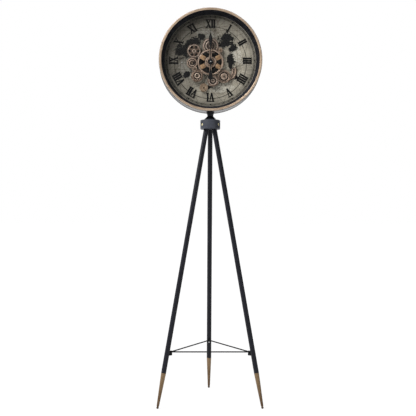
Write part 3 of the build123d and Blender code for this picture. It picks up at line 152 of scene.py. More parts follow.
class Graph:
    """The node tree of a new material, or of the world if that is its owner."""

    def __init__(self, name, owner=None):
        self.owner = owner or bpy.data.materials.new(name)
        self.owner.use_nodes = True
        self.tree = self.owner.node_tree
        self.tree.nodes.clear()
        self.place = self.take("ShaderNodeTexCoord", "Object")

    def join(self, value, socket):
        """Links a wire to a socket, or sets the socket to a number or a colour."""
        if isinstance(value, Wire):
            self.tree.links.new(value.socket, socket)
        else:
            socket.default_value = (*value, 1.0) if socket.type == "RGBA" else value

    def node(self, kind, inputs=None, **settings):
        made = self.tree.nodes.new(kind)
        for key, value in settings.items():
            setattr(made, key, value)
        for key, value in (inputs or {}).items():
            self.join(value, made.inputs[key])
        return made

    def take(self, kind, output=0, inputs=None, **settings):
        """One output of a new node."""
        return Wire(self, self.node(kind, inputs, **settings).outputs[output])

    def math(self, operation, *values):
        return self.take("ShaderNodeMath", 0, dict(enumerate(values)), operation=operation)

    def span(self, first, second):
        """Length of a step with these two parts."""
        return self.math("SQRT", first * first + second * second)

    def vector(self, operation, first, second, output="Vector"):
        return self.take("ShaderNodeVectorMath", output, {0: first, 1: second}, operation=operation)

    def combine(self, x, y, z):
        return self.take("ShaderNodeCombineXYZ", 0, {"X": x, "Y": y, "Z": z})

    def split(self, vector):
        made = self.node("ShaderNodeSeparateXYZ", {"Vector": vector})
        return tuple(Wire(self, made.outputs[k]) for k in range(3))

    def split_from(self, centre):
        """The three parts of a point's way from a centre."""
        return self.split(self.vector("SUBTRACT", self.place, tuple(centre)))

    def noise(self, at, scale, detail=3.0, roughness=0.55, distortion=0.0):
        return self.take("ShaderNodeTexNoise", "Fac", {
            "Vector": at, "Scale": scale, "Detail": detail, "Roughness": roughness,
            "Distortion": distortion,
        })

    def spots(self, scale, detail, roughness=0.55):
        """Noise that stays on the object."""
        return self.noise(self.place, scale, detail, roughness)

    def fade(self, value, low, high, start=0.0, end=1.0):
        """From start at low to end at high, smoothly, and level beyond."""
        return self.take("ShaderNodeMapRange", "Result", {
            "Value": value, "From Min": low, "From Max": high, "To Min": start, "To Max": end,
        }, interpolation_type="SMOOTHSTEP")

    def mix(self, share, first, second):
        """Colour first at share 0, second at share 1."""
        return self.take("ShaderNodeMix", 2, {0: share, 6: first, 7: second}, data_type="RGBA")

    def layer(self, under, value, low, high, share, colour):
        """A colour over what is under it: none of it at low, and its full share at high."""
        return self.mix(self.fade(value, low, high) * share, under, colour)

    def edges(self, reach):
        """1 on convex and concave edges, within reach, and 0 elsewhere."""
        rounded = self.take("ShaderNodeBevel", 0, {"Radius": reach}, samples=4)
        plain = self.take("ShaderNodeNewGeometry", "Normal")
        return self.fade(self.vector("DOT_PRODUCT", rounded, plain, "Value"), 0.995, 0.93)

    def painted_corner_shade(self, reach):
        """1 deep in corners and gaps within reach, and 0 in the open: the mask of painted shade."""
        open_share = self.take("ShaderNodeAmbientOcclusion", "AO", {"Distance": reach}, samples=6)
        return self.fade(open_share, 0.95, 0.35)

    def most(self, *values):
        """The greatest of some values."""
        best = values[0]
        for value in values[1:]:
            best = self.math("MAXIMUM", best, value)
        return best

    def attribute(self, name):
        return self.take("ShaderNodeAttribute", "Fac", attribute_name=name)

    def ray(self, kind):
        """1 for a kind of ray, and 0 for the others."""
        return self.take("ShaderNodeLightPath", f"Is {kind} Ray")

    def finish(self, colour, gloss, metallic, relief, specular=0.5):
        """Ends the tree in a Principled shader and returns the material.

        gloss is a noise and the roughness at its low and high ends. relief is a height and its size.
        """
        noise, smooth, rough = gloss
        height, rise = relief
        bump = self.take("ShaderNodeBump", 0, {"Height": height, "Distance": rise, "Strength": 1.0})
        return self.close(self.take("ShaderNodeBsdfPrincipled", 0, {
            "Base Color": colour, "Roughness": self.fade(noise, 0.3, 0.7, smooth, rough),
            "Metallic": metallic, "Normal": bump, "Specular IOR Level": specular,
        }))

    def blend(self, share, first, second):
        """Shader first at share 0, second at share 1."""
        return self.take("ShaderNodeMixShader", 0, {0: share, 1: first, 2: second})

    def close(self, shader, output="ShaderNodeOutputMaterial"):
        self.node(output, {"Surface": shader})
        return self.owner


def scaled(colour, share):
    return tuple(channel * share for channel in colour)


# Materials. Their tones, scales and shares are trimmed to the photograph

white = (1.0, 1.0, 1.0)
antique_gloss = 0.38


def coated(name, colour, roughness, specular=0.25, scuff=None, peel_rise=0.012 * mm, mottle=1.0):
    """Baked powder coat: orange peel, slow drifts of tone, and rubbed edges where scuff is given.

    mottle is the share of the full change in tone and gloss from patch to patch.
    """
    graph = Graph(name)
    drift = graph.spots(9, 3)
    cloud = graph.spots(55, 4)
    peel = graph.spots(700, 2)
    tone = graph.mix(graph.fade(drift, 0.35, 0.65), scaled(colour, 0.78), scaled(colour, 1.2))
    tone = graph.mix(graph.fade(cloud, 0.55, 0.75) * (0.25 * mottle), tone, scaled(colour, 1.7))
    if scuff:
        rubbed = graph.edges(0.5 * mm) * graph.fade(graph.spots(420, 3), 0.5, 0.62)
        tone = graph.mix(rubbed * 0.7, tone, scuff)
    gloss = (cloud, roughness - 0.06 * mottle, roughness + 0.08 * mottle)
    return graph.finish(tone, gloss, 0.0, (peel, peel_rise), specular)


def antique(name, bright, dull, grime_and_shade, edge, turned=False):
    """Plated metal that was blackened and rubbed back: bright ridges, and painted shade in corners and
    gaps.

    A turned piece carries two attributes: the radius of each point about its axis, for the tool's
    marks, and its relief, in millimetres above the nearest face of the wheel.
    """
    graph = Graph(name)
    cloud = graph.spots(75, 5, 0.6)
    speck = graph.spots(480, 3)
    tone = graph.mix(graph.fade(cloud, 0.36, 0.62), bright, dull)
    tone = graph.layer(tone, speck, 0.56, 0.7, 0.45, grime_and_shade)
    height = speck
    if turned:
        radius, relief = graph.attribute("turned"), graph.attribute("relief")
        height = speck * 0.5 + graph.noise(graph.combine(radius, 0.0, 0.0), 5200, 1)
        tone = graph.layer(tone, relief + (speck - 0.5) * 0.3, -0.08, -0.35, 0.95, grime_and_shade)
        # Raised ridges go bright: rubbed metal, and in part a painted highlight.
        polished_and_highlight = graph.fade(relief + (cloud - 0.5) * 0.6, 0.3, 0.75) * graph.fade(relief, 2.6, 2.0)
        tone = graph.mix(polished_and_highlight * 0.92, tone, edge)
        tone = graph.layer(tone, relief, 2.0, 2.6, 0.8, grime_and_shade)
    # Painted shade: darker in corners and in gaps between parts.
    tone = graph.mix(graph.painted_corner_shade(2.5 * mm) * 0.8, tone, grime_and_shade)
    # Bright edges: rubbed wear, and in part a painted highlight.
    tone = graph.mix(graph.edges(0.35 * mm) * graph.fade(speck, 0.35, 0.55), tone, edge)
    gloss = (cloud, antique_gloss, antique_gloss + 0.2)
    return graph.finish(tone, gloss, 0.6, (height, 0.02 * mm))


def brushed_rim(name):
    """Copper gold paint on turned metal, with fine lines that run round the rim, a painted highlight on
    its outer roll and painted shade in its cove and corners.
    """
    graph = Graph(name)
    x, y, z = graph.split_from(head)
    radius = graph.span(x, z)
    around = graph.combine(radius * 900 + x * 7, y * 900 + z * 7, 0.0)
    streak = graph.noise(around, 1.0, 3)
    cloud = graph.spots(26, 4)
    speck = graph.spots(700, 3)
    tone = graph.mix(graph.fade(cloud, 0.35, 0.65), (0.44, 0.325, 0.225), (0.34, 0.245, 0.165))
    tone = graph.layer(tone, streak, 0.45, 0.7, 0.45, (0.55, 0.42, 0.31))
    # Painted highlight: the outer roll is lighter.
    tone = graph.layer(
        tone, radius, rim_radius - 3.4 * mm, rim_radius - 2.2 * mm, 0.55, (0.56, 0.45, 0.36)
    )
    tone = graph.layer(tone, speck, 0.6, 0.72, 0.4, (0.2, 0.13, 0.08))
    side = graph.fade(y, 1.3 * mm, 2.6 * mm)
    tone = graph.mix(side * 0.9, tone, (0.05, 0.035, 0.026))
    # Painted shade in the cove and at the rim's corners.
    tone = graph.mix(graph.painted_corner_shade(2 * mm) * 0.7, tone, (0.09, 0.06, 0.04))
    return graph.finish(tone, (streak, 0.38, 0.52), 0.3, (streak, 0.03 * mm))


def ferrule_metal(name, low, high, dark, light):
    """Antique bronze that darkens towards the foot, turned with fine rings, with painted shade in its
    corners.
    """
    graph = Graph(name)
    x, y, z = graph.split(graph.place)
    cloud = graph.spots(48, 4)
    rings = graph.noise(graph.combine(x * 40, y * 40, z * 1500), 1.0, 2)
    height = graph.fade(z + (cloud - 0.5) * (high - low) * 0.15, low, high)
    tone = graph.mix(height, dark, light)
    tone = graph.layer(tone, cloud, 0.45, 0.75, 0.4, (0.27, 0.18, 0.11))
    tone = graph.layer(tone, rings, 0.55, 0.75, 0.35, (0.36, 0.25, 0.15))
    # Painted shade where the metal meets other parts.
    tone = graph.mix(graph.painted_corner_shade(2 * mm) * 0.6, tone, (0.03, 0.02, 0.014))
    return graph.finish(tone, (rings, 0.36, 0.5), 0.6, (rings, 0.03 * mm), 0.35)


def plain_metal(name, colour, gloss, metallic=1.0):
    """Machined or plated metal with fine scratches and dull patches, and painted shade in corners."""
    graph = Graph(name)
    x, y, z = graph.split(graph.place)
    scratch = graph.noise(graph.combine(x * 2400, y * 160, z * 300), 1.0, 2)
    cloud = graph.spots(160, 3)
    tone = graph.mix(graph.fade(cloud, 0.35, 0.7), colour, scaled(colour, 0.72))
    # Painted shade in corners and gaps.
    tone = graph.mix(graph.painted_corner_shade(1.5 * mm) * 0.7, tone, scaled(colour, 0.15))
    return graph.finish(tone, (scratch, gloss, gloss + 0.16), metallic, (scratch, 0.01 * mm))


def cap_metal(name, bright, dark, reach):
    """Polished tip on the works' axis, blackened outside its reach."""
    graph = Graph(name)
    x, y, z = graph.split_from(works)
    radius = graph.span(x, z)
    swirl = graph.noise(graph.combine(radius * 6000, y * 2000, 0.0), 1.0, 2)
    tip = graph.fade(radius, reach, reach - 0.3 * mm)
    tone = graph.mix(tip, dark, bright)
    return graph.finish(tone, (swirl, 0.3, 0.45), tip * 0.8, (swirl, 0.01 * mm), 0.15)


def moulded(name, colour, roughness, grain=0.05):
    """Moulded plastic with a spark-eroded grain, paler where it is rubbed."""
    graph = Graph(name)
    cloud = graph.spots(90, 3)
    spark = graph.spots(1800, 2)
    tone = graph.mix(graph.fade(cloud, 0.35, 0.7), colour, scaled(colour, 1.3))
    tone = graph.mix(graph.edges(0.4 * mm) * 0.25, tone, scaled(colour, 2.2))
    gloss = (spark, roughness - 0.07, roughness + 0.07)
    return graph.finish(tone, gloss, 0.0, (spark, grain * mm), 0.3)


def turned_wood(name):
    """Pale hardwood with long grain along Z."""
    graph = Graph(name)
    x, y, z = graph.split(graph.place)
    grain = graph.noise(graph.combine(x * 380, y * 380, z * 18), 1.0, 4, distortion=0.6)
    tone = graph.mix(graph.fade(grain, 0.35, 0.65), (0.42, 0.28, 0.16), (0.26, 0.16, 0.085))
    return graph.finish(tone, (grain, 0.6, 0.6), 0.0, (grain, 0.1 * mm))


def clear_glass(name):
    """Thin flat glass: a faint mirror over what is behind it, with a little dust."""
    graph = Graph(name)
    dust = graph.fade(graph.spots(30, 4), 0.45, 0.8, 0.02, 0.09)
    shine = graph.take("ShaderNodeBsdfGlossy", 0, {"Color": white, "Roughness": dust})
    through = graph.take("ShaderNodeBsdfTransparent", 0, {"Color": (0.985, 0.99, 0.985)})
    inner_face = graph.take("ShaderNodeNewGeometry", "Backfacing")
    mirror = graph.take("ShaderNodeFresnel", 0, {"IOR": 1.25}) * (1 - inner_face)
    return graph.close(graph.blend(mirror, through, shine))


# The dial's print. Its places are in metres from the dial's centre, right and up

ink = (0.0062, 0.0062, 0.0066)
sepia = (0.075, 0.055, 0.035)

# Made-up lands: centre, half width, half height, turn in degrees
lands = (
    ((-0.071, 0.068), 0.040, 0.019, 24),
    ((-0.106, 0.036), 0.027, 0.026, -10),
    ((-0.036, 0.094), 0.017, 0.010, -20),
    ((0.060, 0.080), 0.026, 0.034, -32),
    ((0.087, 0.049), 0.016, 0.013, 15),
    ((0.080, -0.002), 0.016, 0.030, 8),
    ((-0.093, -0.054), 0.017, 0.011, 35),
    ((0.100, -0.064), 0.018, 0.009, -28),
    ((-0.014, -0.106), 0.020, 0.007, 6),
)
pale_lands = (
    ((0.101, 0.022), 0.026, 0.040, 20),
    ((-0.088, -0.026), 0.044, 0.048, -25),
    ((-0.018, 0.104), 0.050, 0.022, -8),
    ((0.046, -0.108), 0.042, 0.020, 14),
)
rose_places = (((0.104, -0.036), 16), ((-0.118, 0.006), 16), ((0.018, 0.118), 16))
chart_circles = (((0.052, 0.046), 0.088), ((-0.058, -0.040), 0.082), ((0.100, -0.036), 0.020))
hour_ring = ((0.0, -0.0075), 0.1412)
track_rings = (0.1695, 0.1755)
track_ink = (0.03, 0.027, 0.022)
grid_step = 0.0135
grid_slope = 0.18


def printed_dial(name):
    """Aged chart paper on fibre board, with made-up coasts, chart lines, a minute track and painted rim
    shade.
    """
    graph = Graph(name)
    x, depth, z = graph.split_from(head)
    radius = graph.span(x, z)
    angle = graph.math("ARCTAN2", z, x)
    sheet = graph.combine(x, 0.0, z)
    wobble = (graph.noise(sheet, 60, 2) - 0.5) * 0.0012

    def line(distance, width):
        """1 within half the width of a line, faded out beyond it."""
        away = graph.math("ABSOLUTE", distance)
        return graph.fade(away, width / 2, width / 2 + 0.35 * mm, 1.0, 0.0)

    def rays(centre, count, width):
        aside, above = x - centre[0], z - centre[1]
        turn = graph.math("ARCTAN2", above, aside)
        away = graph.span(aside, above)
        return line(graph.math("SINE", turn * (count / 2)) * away * (2 / count) + wobble, width)

    def ring(centre, size, width):
        return line(graph.span(x - centre[0], z - centre[1]) - size + wobble, width)

    def land(centre, wide, high, turn):
        """Height of one land: 1 in its middle, 0 on a plain ellipse, falling beyond."""
        aside, above = x - centre[0], z - centre[1]
        along = (aside * cos(radians(turn)) + above * sin(radians(turn))) / wide
        across = (above * cos(radians(turn)) - aside * sin(radians(turn))) / high
        return 1.0 - graph.span(along, across)

    def highest(places):
        return graph.most(*(land(*place) for place in places))

    coarse = graph.noise(sheet, 42, 6, 0.62)
    fine = graph.noise(sheet, 150, 5, 0.65)
    fibre = graph.noise(graph.combine(x * 900, 0.0, z * 190), 1.0, 3)
    cloud = graph.noise(sheet, 17, 5, 0.6)

    paper = graph.mix(graph.fade(cloud, 0.34, 0.66), (0.27, 0.243, 0.20), (0.44, 0.398, 0.328))
    paper = graph.layer(paper, fine, 0.42, 0.72, 0.5, (0.54, 0.495, 0.42))
    paper = graph.layer(paper, fibre, 0.5, 0.8, 0.3, (0.17, 0.14, 0.11))
    foxing = graph.fade(coarse, 0.6, 0.74) * graph.fade(fine, 0.48, 0.6)
    paper = graph.mix(foxing * 0.55, paper, (0.17, 0.12, 0.08))

    pale = highest(pale_lands) + (coarse - 0.5) * 2.6
    paper = graph.layer(paper, pale, 0.05, 0.3, 0.65, (0.58, 0.545, 0.475))
    hatch = graph.fade(graph.noise(sheet, 210, 3, 0.7), 0.5, 0.6) * graph.fade(pale, 0.0, 0.25)
    paper = graph.mix(hatch * 0.7, paper, (0.11, 0.10, 0.085))
    paper = graph.mix(line(pale * 0.012, 0.5 * mm) * 0.6, paper, sepia)

    wheels = graph.most(*(rays(place, count, 0.7 * mm) for place, count in rose_places))
    circles = graph.most(*(ring(place, size, 0.7 * mm) for place, size in chart_circles))
    grid = graph.most(*(
        line(graph.math("PINGPONG", across, grid_step), 0.3 * mm)
        for across in (x + z * grid_slope, z - x * grid_slope)
    ))
    paper = graph.mix(wheels * 0.8, paper, sepia)
    paper = graph.mix(grid * 0.6, paper, sepia)
    paper = graph.mix(circles * 0.9, paper, sepia)

    dark = highest(lands) + (coarse - 0.5) * 2.6 + (fine - 0.5) * 2.4
    paper = graph.layer(paper, dark, -0.22, 0.0, 0.55, (0.13, 0.12, 0.10))
    worn_ink = graph.mix(graph.fade(fine, 0.6, 0.75) * 0.5, ink, (0.07, 0.065, 0.055))
    paper = graph.mix(graph.fade(dark, 0.0, 0.07), paper, worn_ink)

    track = graph.most(
        ring(*hour_ring, 2.6 * mm), *(ring((0.0, 0.0), size, 1.2 * mm) for size in track_rings)
    )
    tick_angle = 2 * pi / 60
    from_tick = (graph.math("FRACT", angle / tick_angle + 0.5) - 0.5) * radius * tick_angle
    in_track = graph.fade(radius, 0.1690, 0.1694) * graph.fade(radius, 0.1760, 0.1756)
    ticks = line(from_tick, 5.0 * mm) * in_track
    faded = graph.fade(graph.noise(sheet, 75, 4), 0.3, 0.55, 0.35, 0.95)
    paper = graph.mix(in_track * 0.42, paper, track_ink)
    paper = graph.mix(graph.most(track, ticks * 0.6) * faded, paper, track_ink)

    # Painted shade: the rim's shadow across the upper left, and more shade near the rim all round.
    lean = x * cos(radians(-30)) + z * sin(radians(-30))
    painted_lighting = graph.fade(lean + (coarse - 0.5) * 0.05, -0.12, 0.13, 0.36, 1.0)
    painted_lighting = painted_lighting * graph.fade(radius, 0.140, 0.172, 1.0, 0.72)
    paper = graph.mix(1 - painted_lighting, paper, (0.010, 0.0095, 0.0095))

    front = graph.fade(graph.math("ABSOLUTE", depth - (dial_front - head.y)), 0.1 * mm, 0.3 * mm, 1, 0)
    board = graph.mix(graph.fade(fine, 0.4, 0.6), (0.13, 0.085, 0.05), (0.2, 0.14, 0.09))
    surface = graph.mix(front, board, paper)
    height = fibre * 0.5 + fine + graph.fade(dark, 0.0, 0.07) * 0.6
    return graph.finish(surface, (fine, 0.5, 0.68), 0.0, (height, 0.05 * mm), 0.1)


# Mesh helpers

def joined_mesh(name, shells):
    """One mesh from closed shells of (points, faces), with every face turned outwards."""
    points, faces = [], []
    for shell_points, shell_faces in shells:
        start = len(points)
        points += [tuple(point) for point in shell_points]
        faces += [tuple(start + k for k in face) for face in shell_faces]
    mesh = bpy.data.meshes.new(name)
    mesh.from_pydata(points, [], faces)
    work = bmesh.new()
    work.from_mesh(mesh)
    bmesh.ops.recalc_face_normals(work, faces=work.faces)
    work.to_mesh(mesh)
    work.free()
    return mesh


def mesh_piece(name, shells, *settings):
    """One named piece from closed shells. The settings are those of settle."""
    return settle(name, joined_mesh(name, shells), *settings)


def settle(name, mesh, material, body, slot, stands_for=(), turned_about=None, faces_at=()):
    """Shades a finished mesh and sets it on its body. faces_at are the depths of its flat faces."""
    mesh.shade_smooth()
    mesh.set_sharp_from_angle(angle=radians(sharp_angle))
    if turned_about is not None:
        turned = mesh.attributes.new("turned", "FLOAT", "POINT")
        radii = [
            hypot(point.co.x - turned_about.x, point.co.z - turned_about.z) for point in mesh.vertices
        ]
        turned.data.foreach_set("value", radii)
    if faces_at:
        relief = mesh.attributes.new("relief", "FLOAT", "POINT")
        heights = [
            min(((level - vertex.co.y) / mm for level in faces_at), key=abs) for vertex in mesh.vertices
        ]
        relief.data.foreach_set("value", heights)
    mesh.materials.append(material)
    piece = bpy.data.objects.new(name, mesh)
    bpy.context.scene.collection.objects.link(piece)
    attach(piece, body)
    if stands_for:
        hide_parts(*stands_for)
    return piece


def bridged(loops, closed=True):
    """A shell of quads between equal loops of points, each joined to the next."""
    count = len(loops[0])
    points = [point for loop in loops for point in loop]
    faces = []
    for k in range(len(loops) if closed else len(loops) - 1):
        here, there = k * count, ((k + 1) % len(loops)) * count
        for step in range(count):
            after = (step + 1) % count
            faces.append((here + step, here + after, there + after, there + step))
    return points, faces


def capped(loops):
    """A shell of quads between loops, closed by a fan of its own at both ends."""
    points, faces = bridged(loops, closed=False)
    count = len(loops[0])
    last = len(points) - count
    faces.append(tuple(range(count)))
    faces.append(tuple(range(last, last + count)))
    return points, faces


def round_at(centre, radius, angle, y):
    """The point at a radius and an angle about a centre, seen from the front, at a depth y."""
    return centre.x + radius * cos(angle), y, centre.z + radius * sin(angle)


def ring_loops(centre, profile, count):
    """A loop of points about a centre for each (radius, y)."""
    turns = [2 * pi * k / count for k in range(count)]
    return [[round_at(centre, radius, turn, y) for turn in turns] for radius, y in profile]


def lathe(centre, profile, count):
    """A closed profile of (radius, y) turned at a centre."""
    return bridged(ring_loops(centre, profile, count))


def round_post(centre, profile, count):
    """A solid round piece through (radius, y), flat at both ends."""
    return capped(ring_loops(centre, profile, count))


def ridge(radius, half, rise, steps=6):
    """Half-round bead on a front profile, from its outer to its inner side."""
    return [
        (radius + half * cos(pi * k / steps), rise * sin(pi * k / steps)) for k in range(steps + 1)
    ]


def dish(outer, inner, drop, lean=0.5 * mm):
    """Sunk flat ring on a front profile, with leaning sides."""
    return [(outer, 0.0), (outer - lean, -drop), (inner + lean, -drop), (inner, 0.0)]


def pitch_of(teeth):
    return teeth * train_module / 2


def root_of(teeth):
    return pitch_of(teeth) - root_share * train_module


def tooth_columns(teeth, turn, inset=0.0):
    """Outline of a toothed wheel as (radius, angle), with rounded tips and roots."""
    pitch = pitch_of(teeth)
    rise = tip_share * train_module - inset
    fall = root_share * train_module + inset
    half = thickness_share * pi * train_module / 2 - inset
    lean = tan(tooth_flank)
    shoulder = rise * 0.72
    stations = (
        (pitch - fall, (half + fall * lean) / (pitch - fall)),
        (pitch - fall * 0.5, (half + fall * 0.5 * lean) / (pitch - fall * 0.5)),
        (pitch + shoulder, (half - shoulder * lean) / (pitch + shoulder)),
        (pitch + rise, (half - rise * lean) / (pitch + rise) * 0.72),
    )
    columns = []
    for tooth in range(teeth):
        middle = turn + 2 * pi * tooth / teeth
        columns += [(radius, middle - angle) for radius, angle in stations]
        columns += [(radius, middle + angle) for radius, angle in reversed(stations)]
        columns.append((pitch - fall, middle + pi / teeth))
    return columns


def toothed(centre, teeth, turn, back, front, profile, bore):
    """Shell of a toothed wheel. profile is its front from the root inwards, as (radius, rise)."""
    chamfer = tooth_chamfer
    outline = tooth_columns(teeth, turn)
    inner = tooth_columns(teeth, turn, chamfer)

    def loop(columns, y):
        return [round_at(centre, radius, angle, y) for radius, angle in columns]

    def circle(radius, y):
        return loop([(radius, angle) for _, angle in outline], y)

    loops = [
        circle(bore, back), circle(min(r for r, _ in inner) - chamfer, back), loop(inner, back),
        loop(outline, back - chamfer), loop(outline, front + chamfer), loop(inner, front),
    ]
    loops += [circle(radius, front - rise) for radius, rise in profile]
    loops.append(circle(bore, front - profile[-1][1]))
    return bridged(loops)


def bar(start, end, half_widths, front, back, chamfer=0.5 * mm):
    """Flat arm between two (x, z) places. half_widths are (share of its length, half width)."""
    start, end = Vector(start), Vector(end)
    along = (end - start).normalized()
    across = Vector((-along.y, along.x))
    loops = []
    for share, half in half_widths:
        middle = start.lerp(end, share)
        section = (
            (-half, back), (-half, front + chamfer), (-half + chamfer, front),
            (half - chamfer, front), (half, front + chamfer), (half, back),
        )
        loops.append([
            (middle.x + across.x * aside, y, middle.y + across.y * aside) for aside, y in section
        ])
    return capped(loops)


def arms(place, count, first, inner, outer, *shape):
    """Evenly spaced bars about a place, between two radii, the first at an angle in degrees."""
    centre = Vector((place.x, place.z))
    bars = []
    for k in range(count):
        angle = radians(first + 360 * k / count)
        way = Vector((cos(angle), sin(angle)))
        bars.append(bar(centre + way * inner, centre + way * outer, *shape))
    return bars


def softened(node, name, width, material, slot, segments=2, spread=0.0):
    """A copy of a CAD node in its place, its sharp edges rounded and its sides moved out by spread."""
    work = bmesh.new()
    work.from_mesh(frame["nodes"][node].data)
    bmesh.ops.remove_doubles(work, verts=work.verts, dist=0.0005 * mm)
    bmesh.ops.dissolve_limit(
        work, angle_limit=radians(0.3), verts=work.verts, edges=work.edges, delimit={"NORMAL"}
    )
    sharp = [
        edge for edge in work.edges
        if edge.is_manifold and edge.calc_face_angle(0) > radians(softened_angle)
    ]
    bmesh.ops.bevel(
        work, geom=sharp, offset=width, segments=segments, profile=0.5, affect="EDGES",
        clamp_overlap=True,
    )
    if spread:
        work.normal_update()
        for vertex in work.verts:
            sides = [face.normal for face in vertex.link_faces if abs(face.normal.y) < 0.2]
            outward = sum(sides, Vector())
            outward.y = 0.0
            if outward.length > 0.01:
                vertex.co += outward.normalized() * spread
    mesh = bpy.data.meshes.new(name)
    work.to_mesh(mesh)
    work.free()
    body = frame["nodes"][node]["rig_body"]
    return settle(name, mesh, material, body, slot, (node,))


def dress(material, slot, *nodes):
    """Gives CAD nodes their finish."""
    for node in nodes:
        piece = frame["nodes"][node]
        piece.data.materials.clear()
        piece.data.materials.append(material)


def subtract(piece, cutters):
    """Cuts closed shells out of a piece."""
    cutter = bpy.data.objects.new("cutter", joined_mesh("cutter", cutters))
    bpy.context.scene.collection.objects.link(cutter)
    change = piece.modifiers.new("cut", "BOOLEAN")
    change.operation = "DIFFERENCE"
    change.object = cutter
    change.solver = "EXACT"
    bpy.context.view_layer.update()
    graph = bpy.context.evaluated_depsgraph_get()
    result = bpy.data.meshes.new_from_object(piece.evaluated_get(graph))
    piece.modifiers.clear()
    piece.data = result
    bpy.data.objects.remove(cutter)
    piece.data.set_sharp_from_angle(angle=radians(sharp_angle))


# Materials of several pieces, and of pieces that are made below

hub_black = coated("hub_coat", (0.044, 0.048, 0.062), 0.45, 0.25, scuff=(0.14, 0.145, 0.16))
rod_black = coated("rod_coat", (0.0085, 0.009, 0.0105), 0.5, 0.12)
liner_black = coated("liner_coat", (0.0085, 0.0088, 0.0125), 0.6, 0.12)
hand_black = coated("hand_coat", (0.007, 0.007, 0.0078), 0.45, 0.15)
numeral_black = coated("numeral_paint", (0.0045, 0.0045, 0.005), 0.5, 0.08)
case_black = moulded("case_black", (0.014, 0.014, 0.015), 0.5)
rim_gold = brushed_rim("rim_gold")
# Dark tone of the copper's dirt specks, and of its painted shade in corners and gaps.
soot_and_shade = (0.012, 0.009, 0.008)
copper = antique(
    "antique_copper", (0.26, 0.17, 0.122), (0.125, 0.08, 0.057), soot_and_shade, (0.68, 0.53, 0.43), True
)
copper_pale = antique(
    "rubbed_copper", (0.38, 0.265, 0.195), (0.185, 0.122, 0.088), soot_and_shade, (0.66, 0.53, 0.445), True
)
# A darker copy of the copper, as painted shade, for the wheels at the top, upper left and bottom.
shaded_copper = antique(
    "shade_painted_copper", (0.20, 0.132, 0.098), (0.088, 0.057, 0.042), (0.010, 0.008, 0.007),
    (0.41, 0.322, 0.268), True,
)
block_gold = antique(
    "block_gold", (0.44, 0.275, 0.155), (0.25, 0.15, 0.082), (0.05, 0.03, 0.018), (0.84, 0.66, 0.48)
)
medallion_tan = antique(
    "medallion_tan", (0.36, 0.26, 0.18), (0.22, 0.15, 0.10), (0.05, 0.035, 0.025), (0.58, 0.47, 0.36)
)
post_brass = antique(
    "post_brass", (0.13, 0.09, 0.055), (0.06, 0.042, 0.028), (0.014, 0.010, 0.008), (0.50, 0.38, 0.26)
)

# CAD nodes that keep their shape

leg_coat = coated(
    "leg_coat", (0.0075, 0.0080, 0.0125), 0.42, 0.22, peel_rise=0.006 * mm, mottle=0.4
)
drum_coat = coated(
    "case_coat", (0.006, 0.006, 0.0075), 0.27, 0.4, peel_rise=0.001 * mm, mottle=0.25
)
dress(leg_coat, "black_metal", "leg_front_left", "leg_front_right", "leg_rear")
dress(drum_coat, "black_metal", "drum")
dress(coated("black_coat", (0.0062, 0.0068, 0.0105), 0.45, 0.2), "black_metal", "neck_post")
dress(coated("back_coat", (0.012, 0.012, 0.013), 0.55, 0.25), "black_metal", "back_cover")
dress(coated("plate_coat", (0.017, 0.0155, 0.0145), 0.5, 0.25), "plate_black", "wheel_plate")
dress(rod_black, "rod_metal", "brace_rod_front", "brace_rod_left", "brace_rod_right", "saddle_plate")
dress(liner_black, "ring_black", "inner_ring")
dress(post_brass, "post_brass", "wheel_posts", "stem_nuts")
dress(printed_dial("dial_print"), "dial_paper", "dial")
dress(clear_glass("clear_glass"), "clear_glass", "glass")
dress(turned_wood("plug_wood"), "plug_wood", "leg_plugs")

tip_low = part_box("ferrules")[0].z
tip_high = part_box("leg_front_left")[0].z
bronze = ferrule_metal("ferrule_bronze", tip_low, tip_high, (0.10, 0.058, 0.031), (0.23, 0.155, 0.085))
# Foot balls: dark bronze that goes pale towards the top as a painted highlight.
tip_bronze_painted_light = ferrule_metal(
    "tip_bronze_painted_light", tip_low, tip_low + 9 * mm, (0.05, 0.03, 0.018), (0.72, 0.60, 0.45)
)
dress(bronze, "ferrule_bronze", "ferrules")
dress(tip_bronze_painted_light, "ferrule_bronze", "foot_tips")

zinc = plain_metal("zinc_steel", (0.52, 0.52, 0.53), 0.34)
dress(zinc, "steel", "brace_screws", "neck_bolt", "panel_screws", "hour_tube", "minute_arbor")
dress(plain_metal("dark_steel", (0.13, 0.11, 0.09), 0.4), "steel", "drive_shaft")
dress(plain_metal("bolt_brass", (0.95, 0.86, 0.52), 0.35, 0.35), "bolt_brass", "leg_bolts")
dress(plain_metal("motor_can", (0.5, 0.5, 0.5), 0.38), "motor_can", "drive_motor")
cap_bright = cap_metal("cap_bright", (0.80, 0.80, 0.80), (0.012, 0.012, 0.012), 2.2 * mm)
dress(cap_bright, "cap_bright", "hand_cap")
dress(moulded("nylon", (0.62, 0.60, 0.53), 0.4, 0.02), "nylon", "motion_wheel", "motor_pinion")
dress(moulded("cell_grey", (0.16, 0.165, 0.175), 0.35, 0.01), "cell_jacket", "cells")
dress(moulded("switch_grey", (0.42, 0.42, 0.40), 0.45), "switch_plastic", "drive_switch")

# CAD nodes with their sharp edges rounded

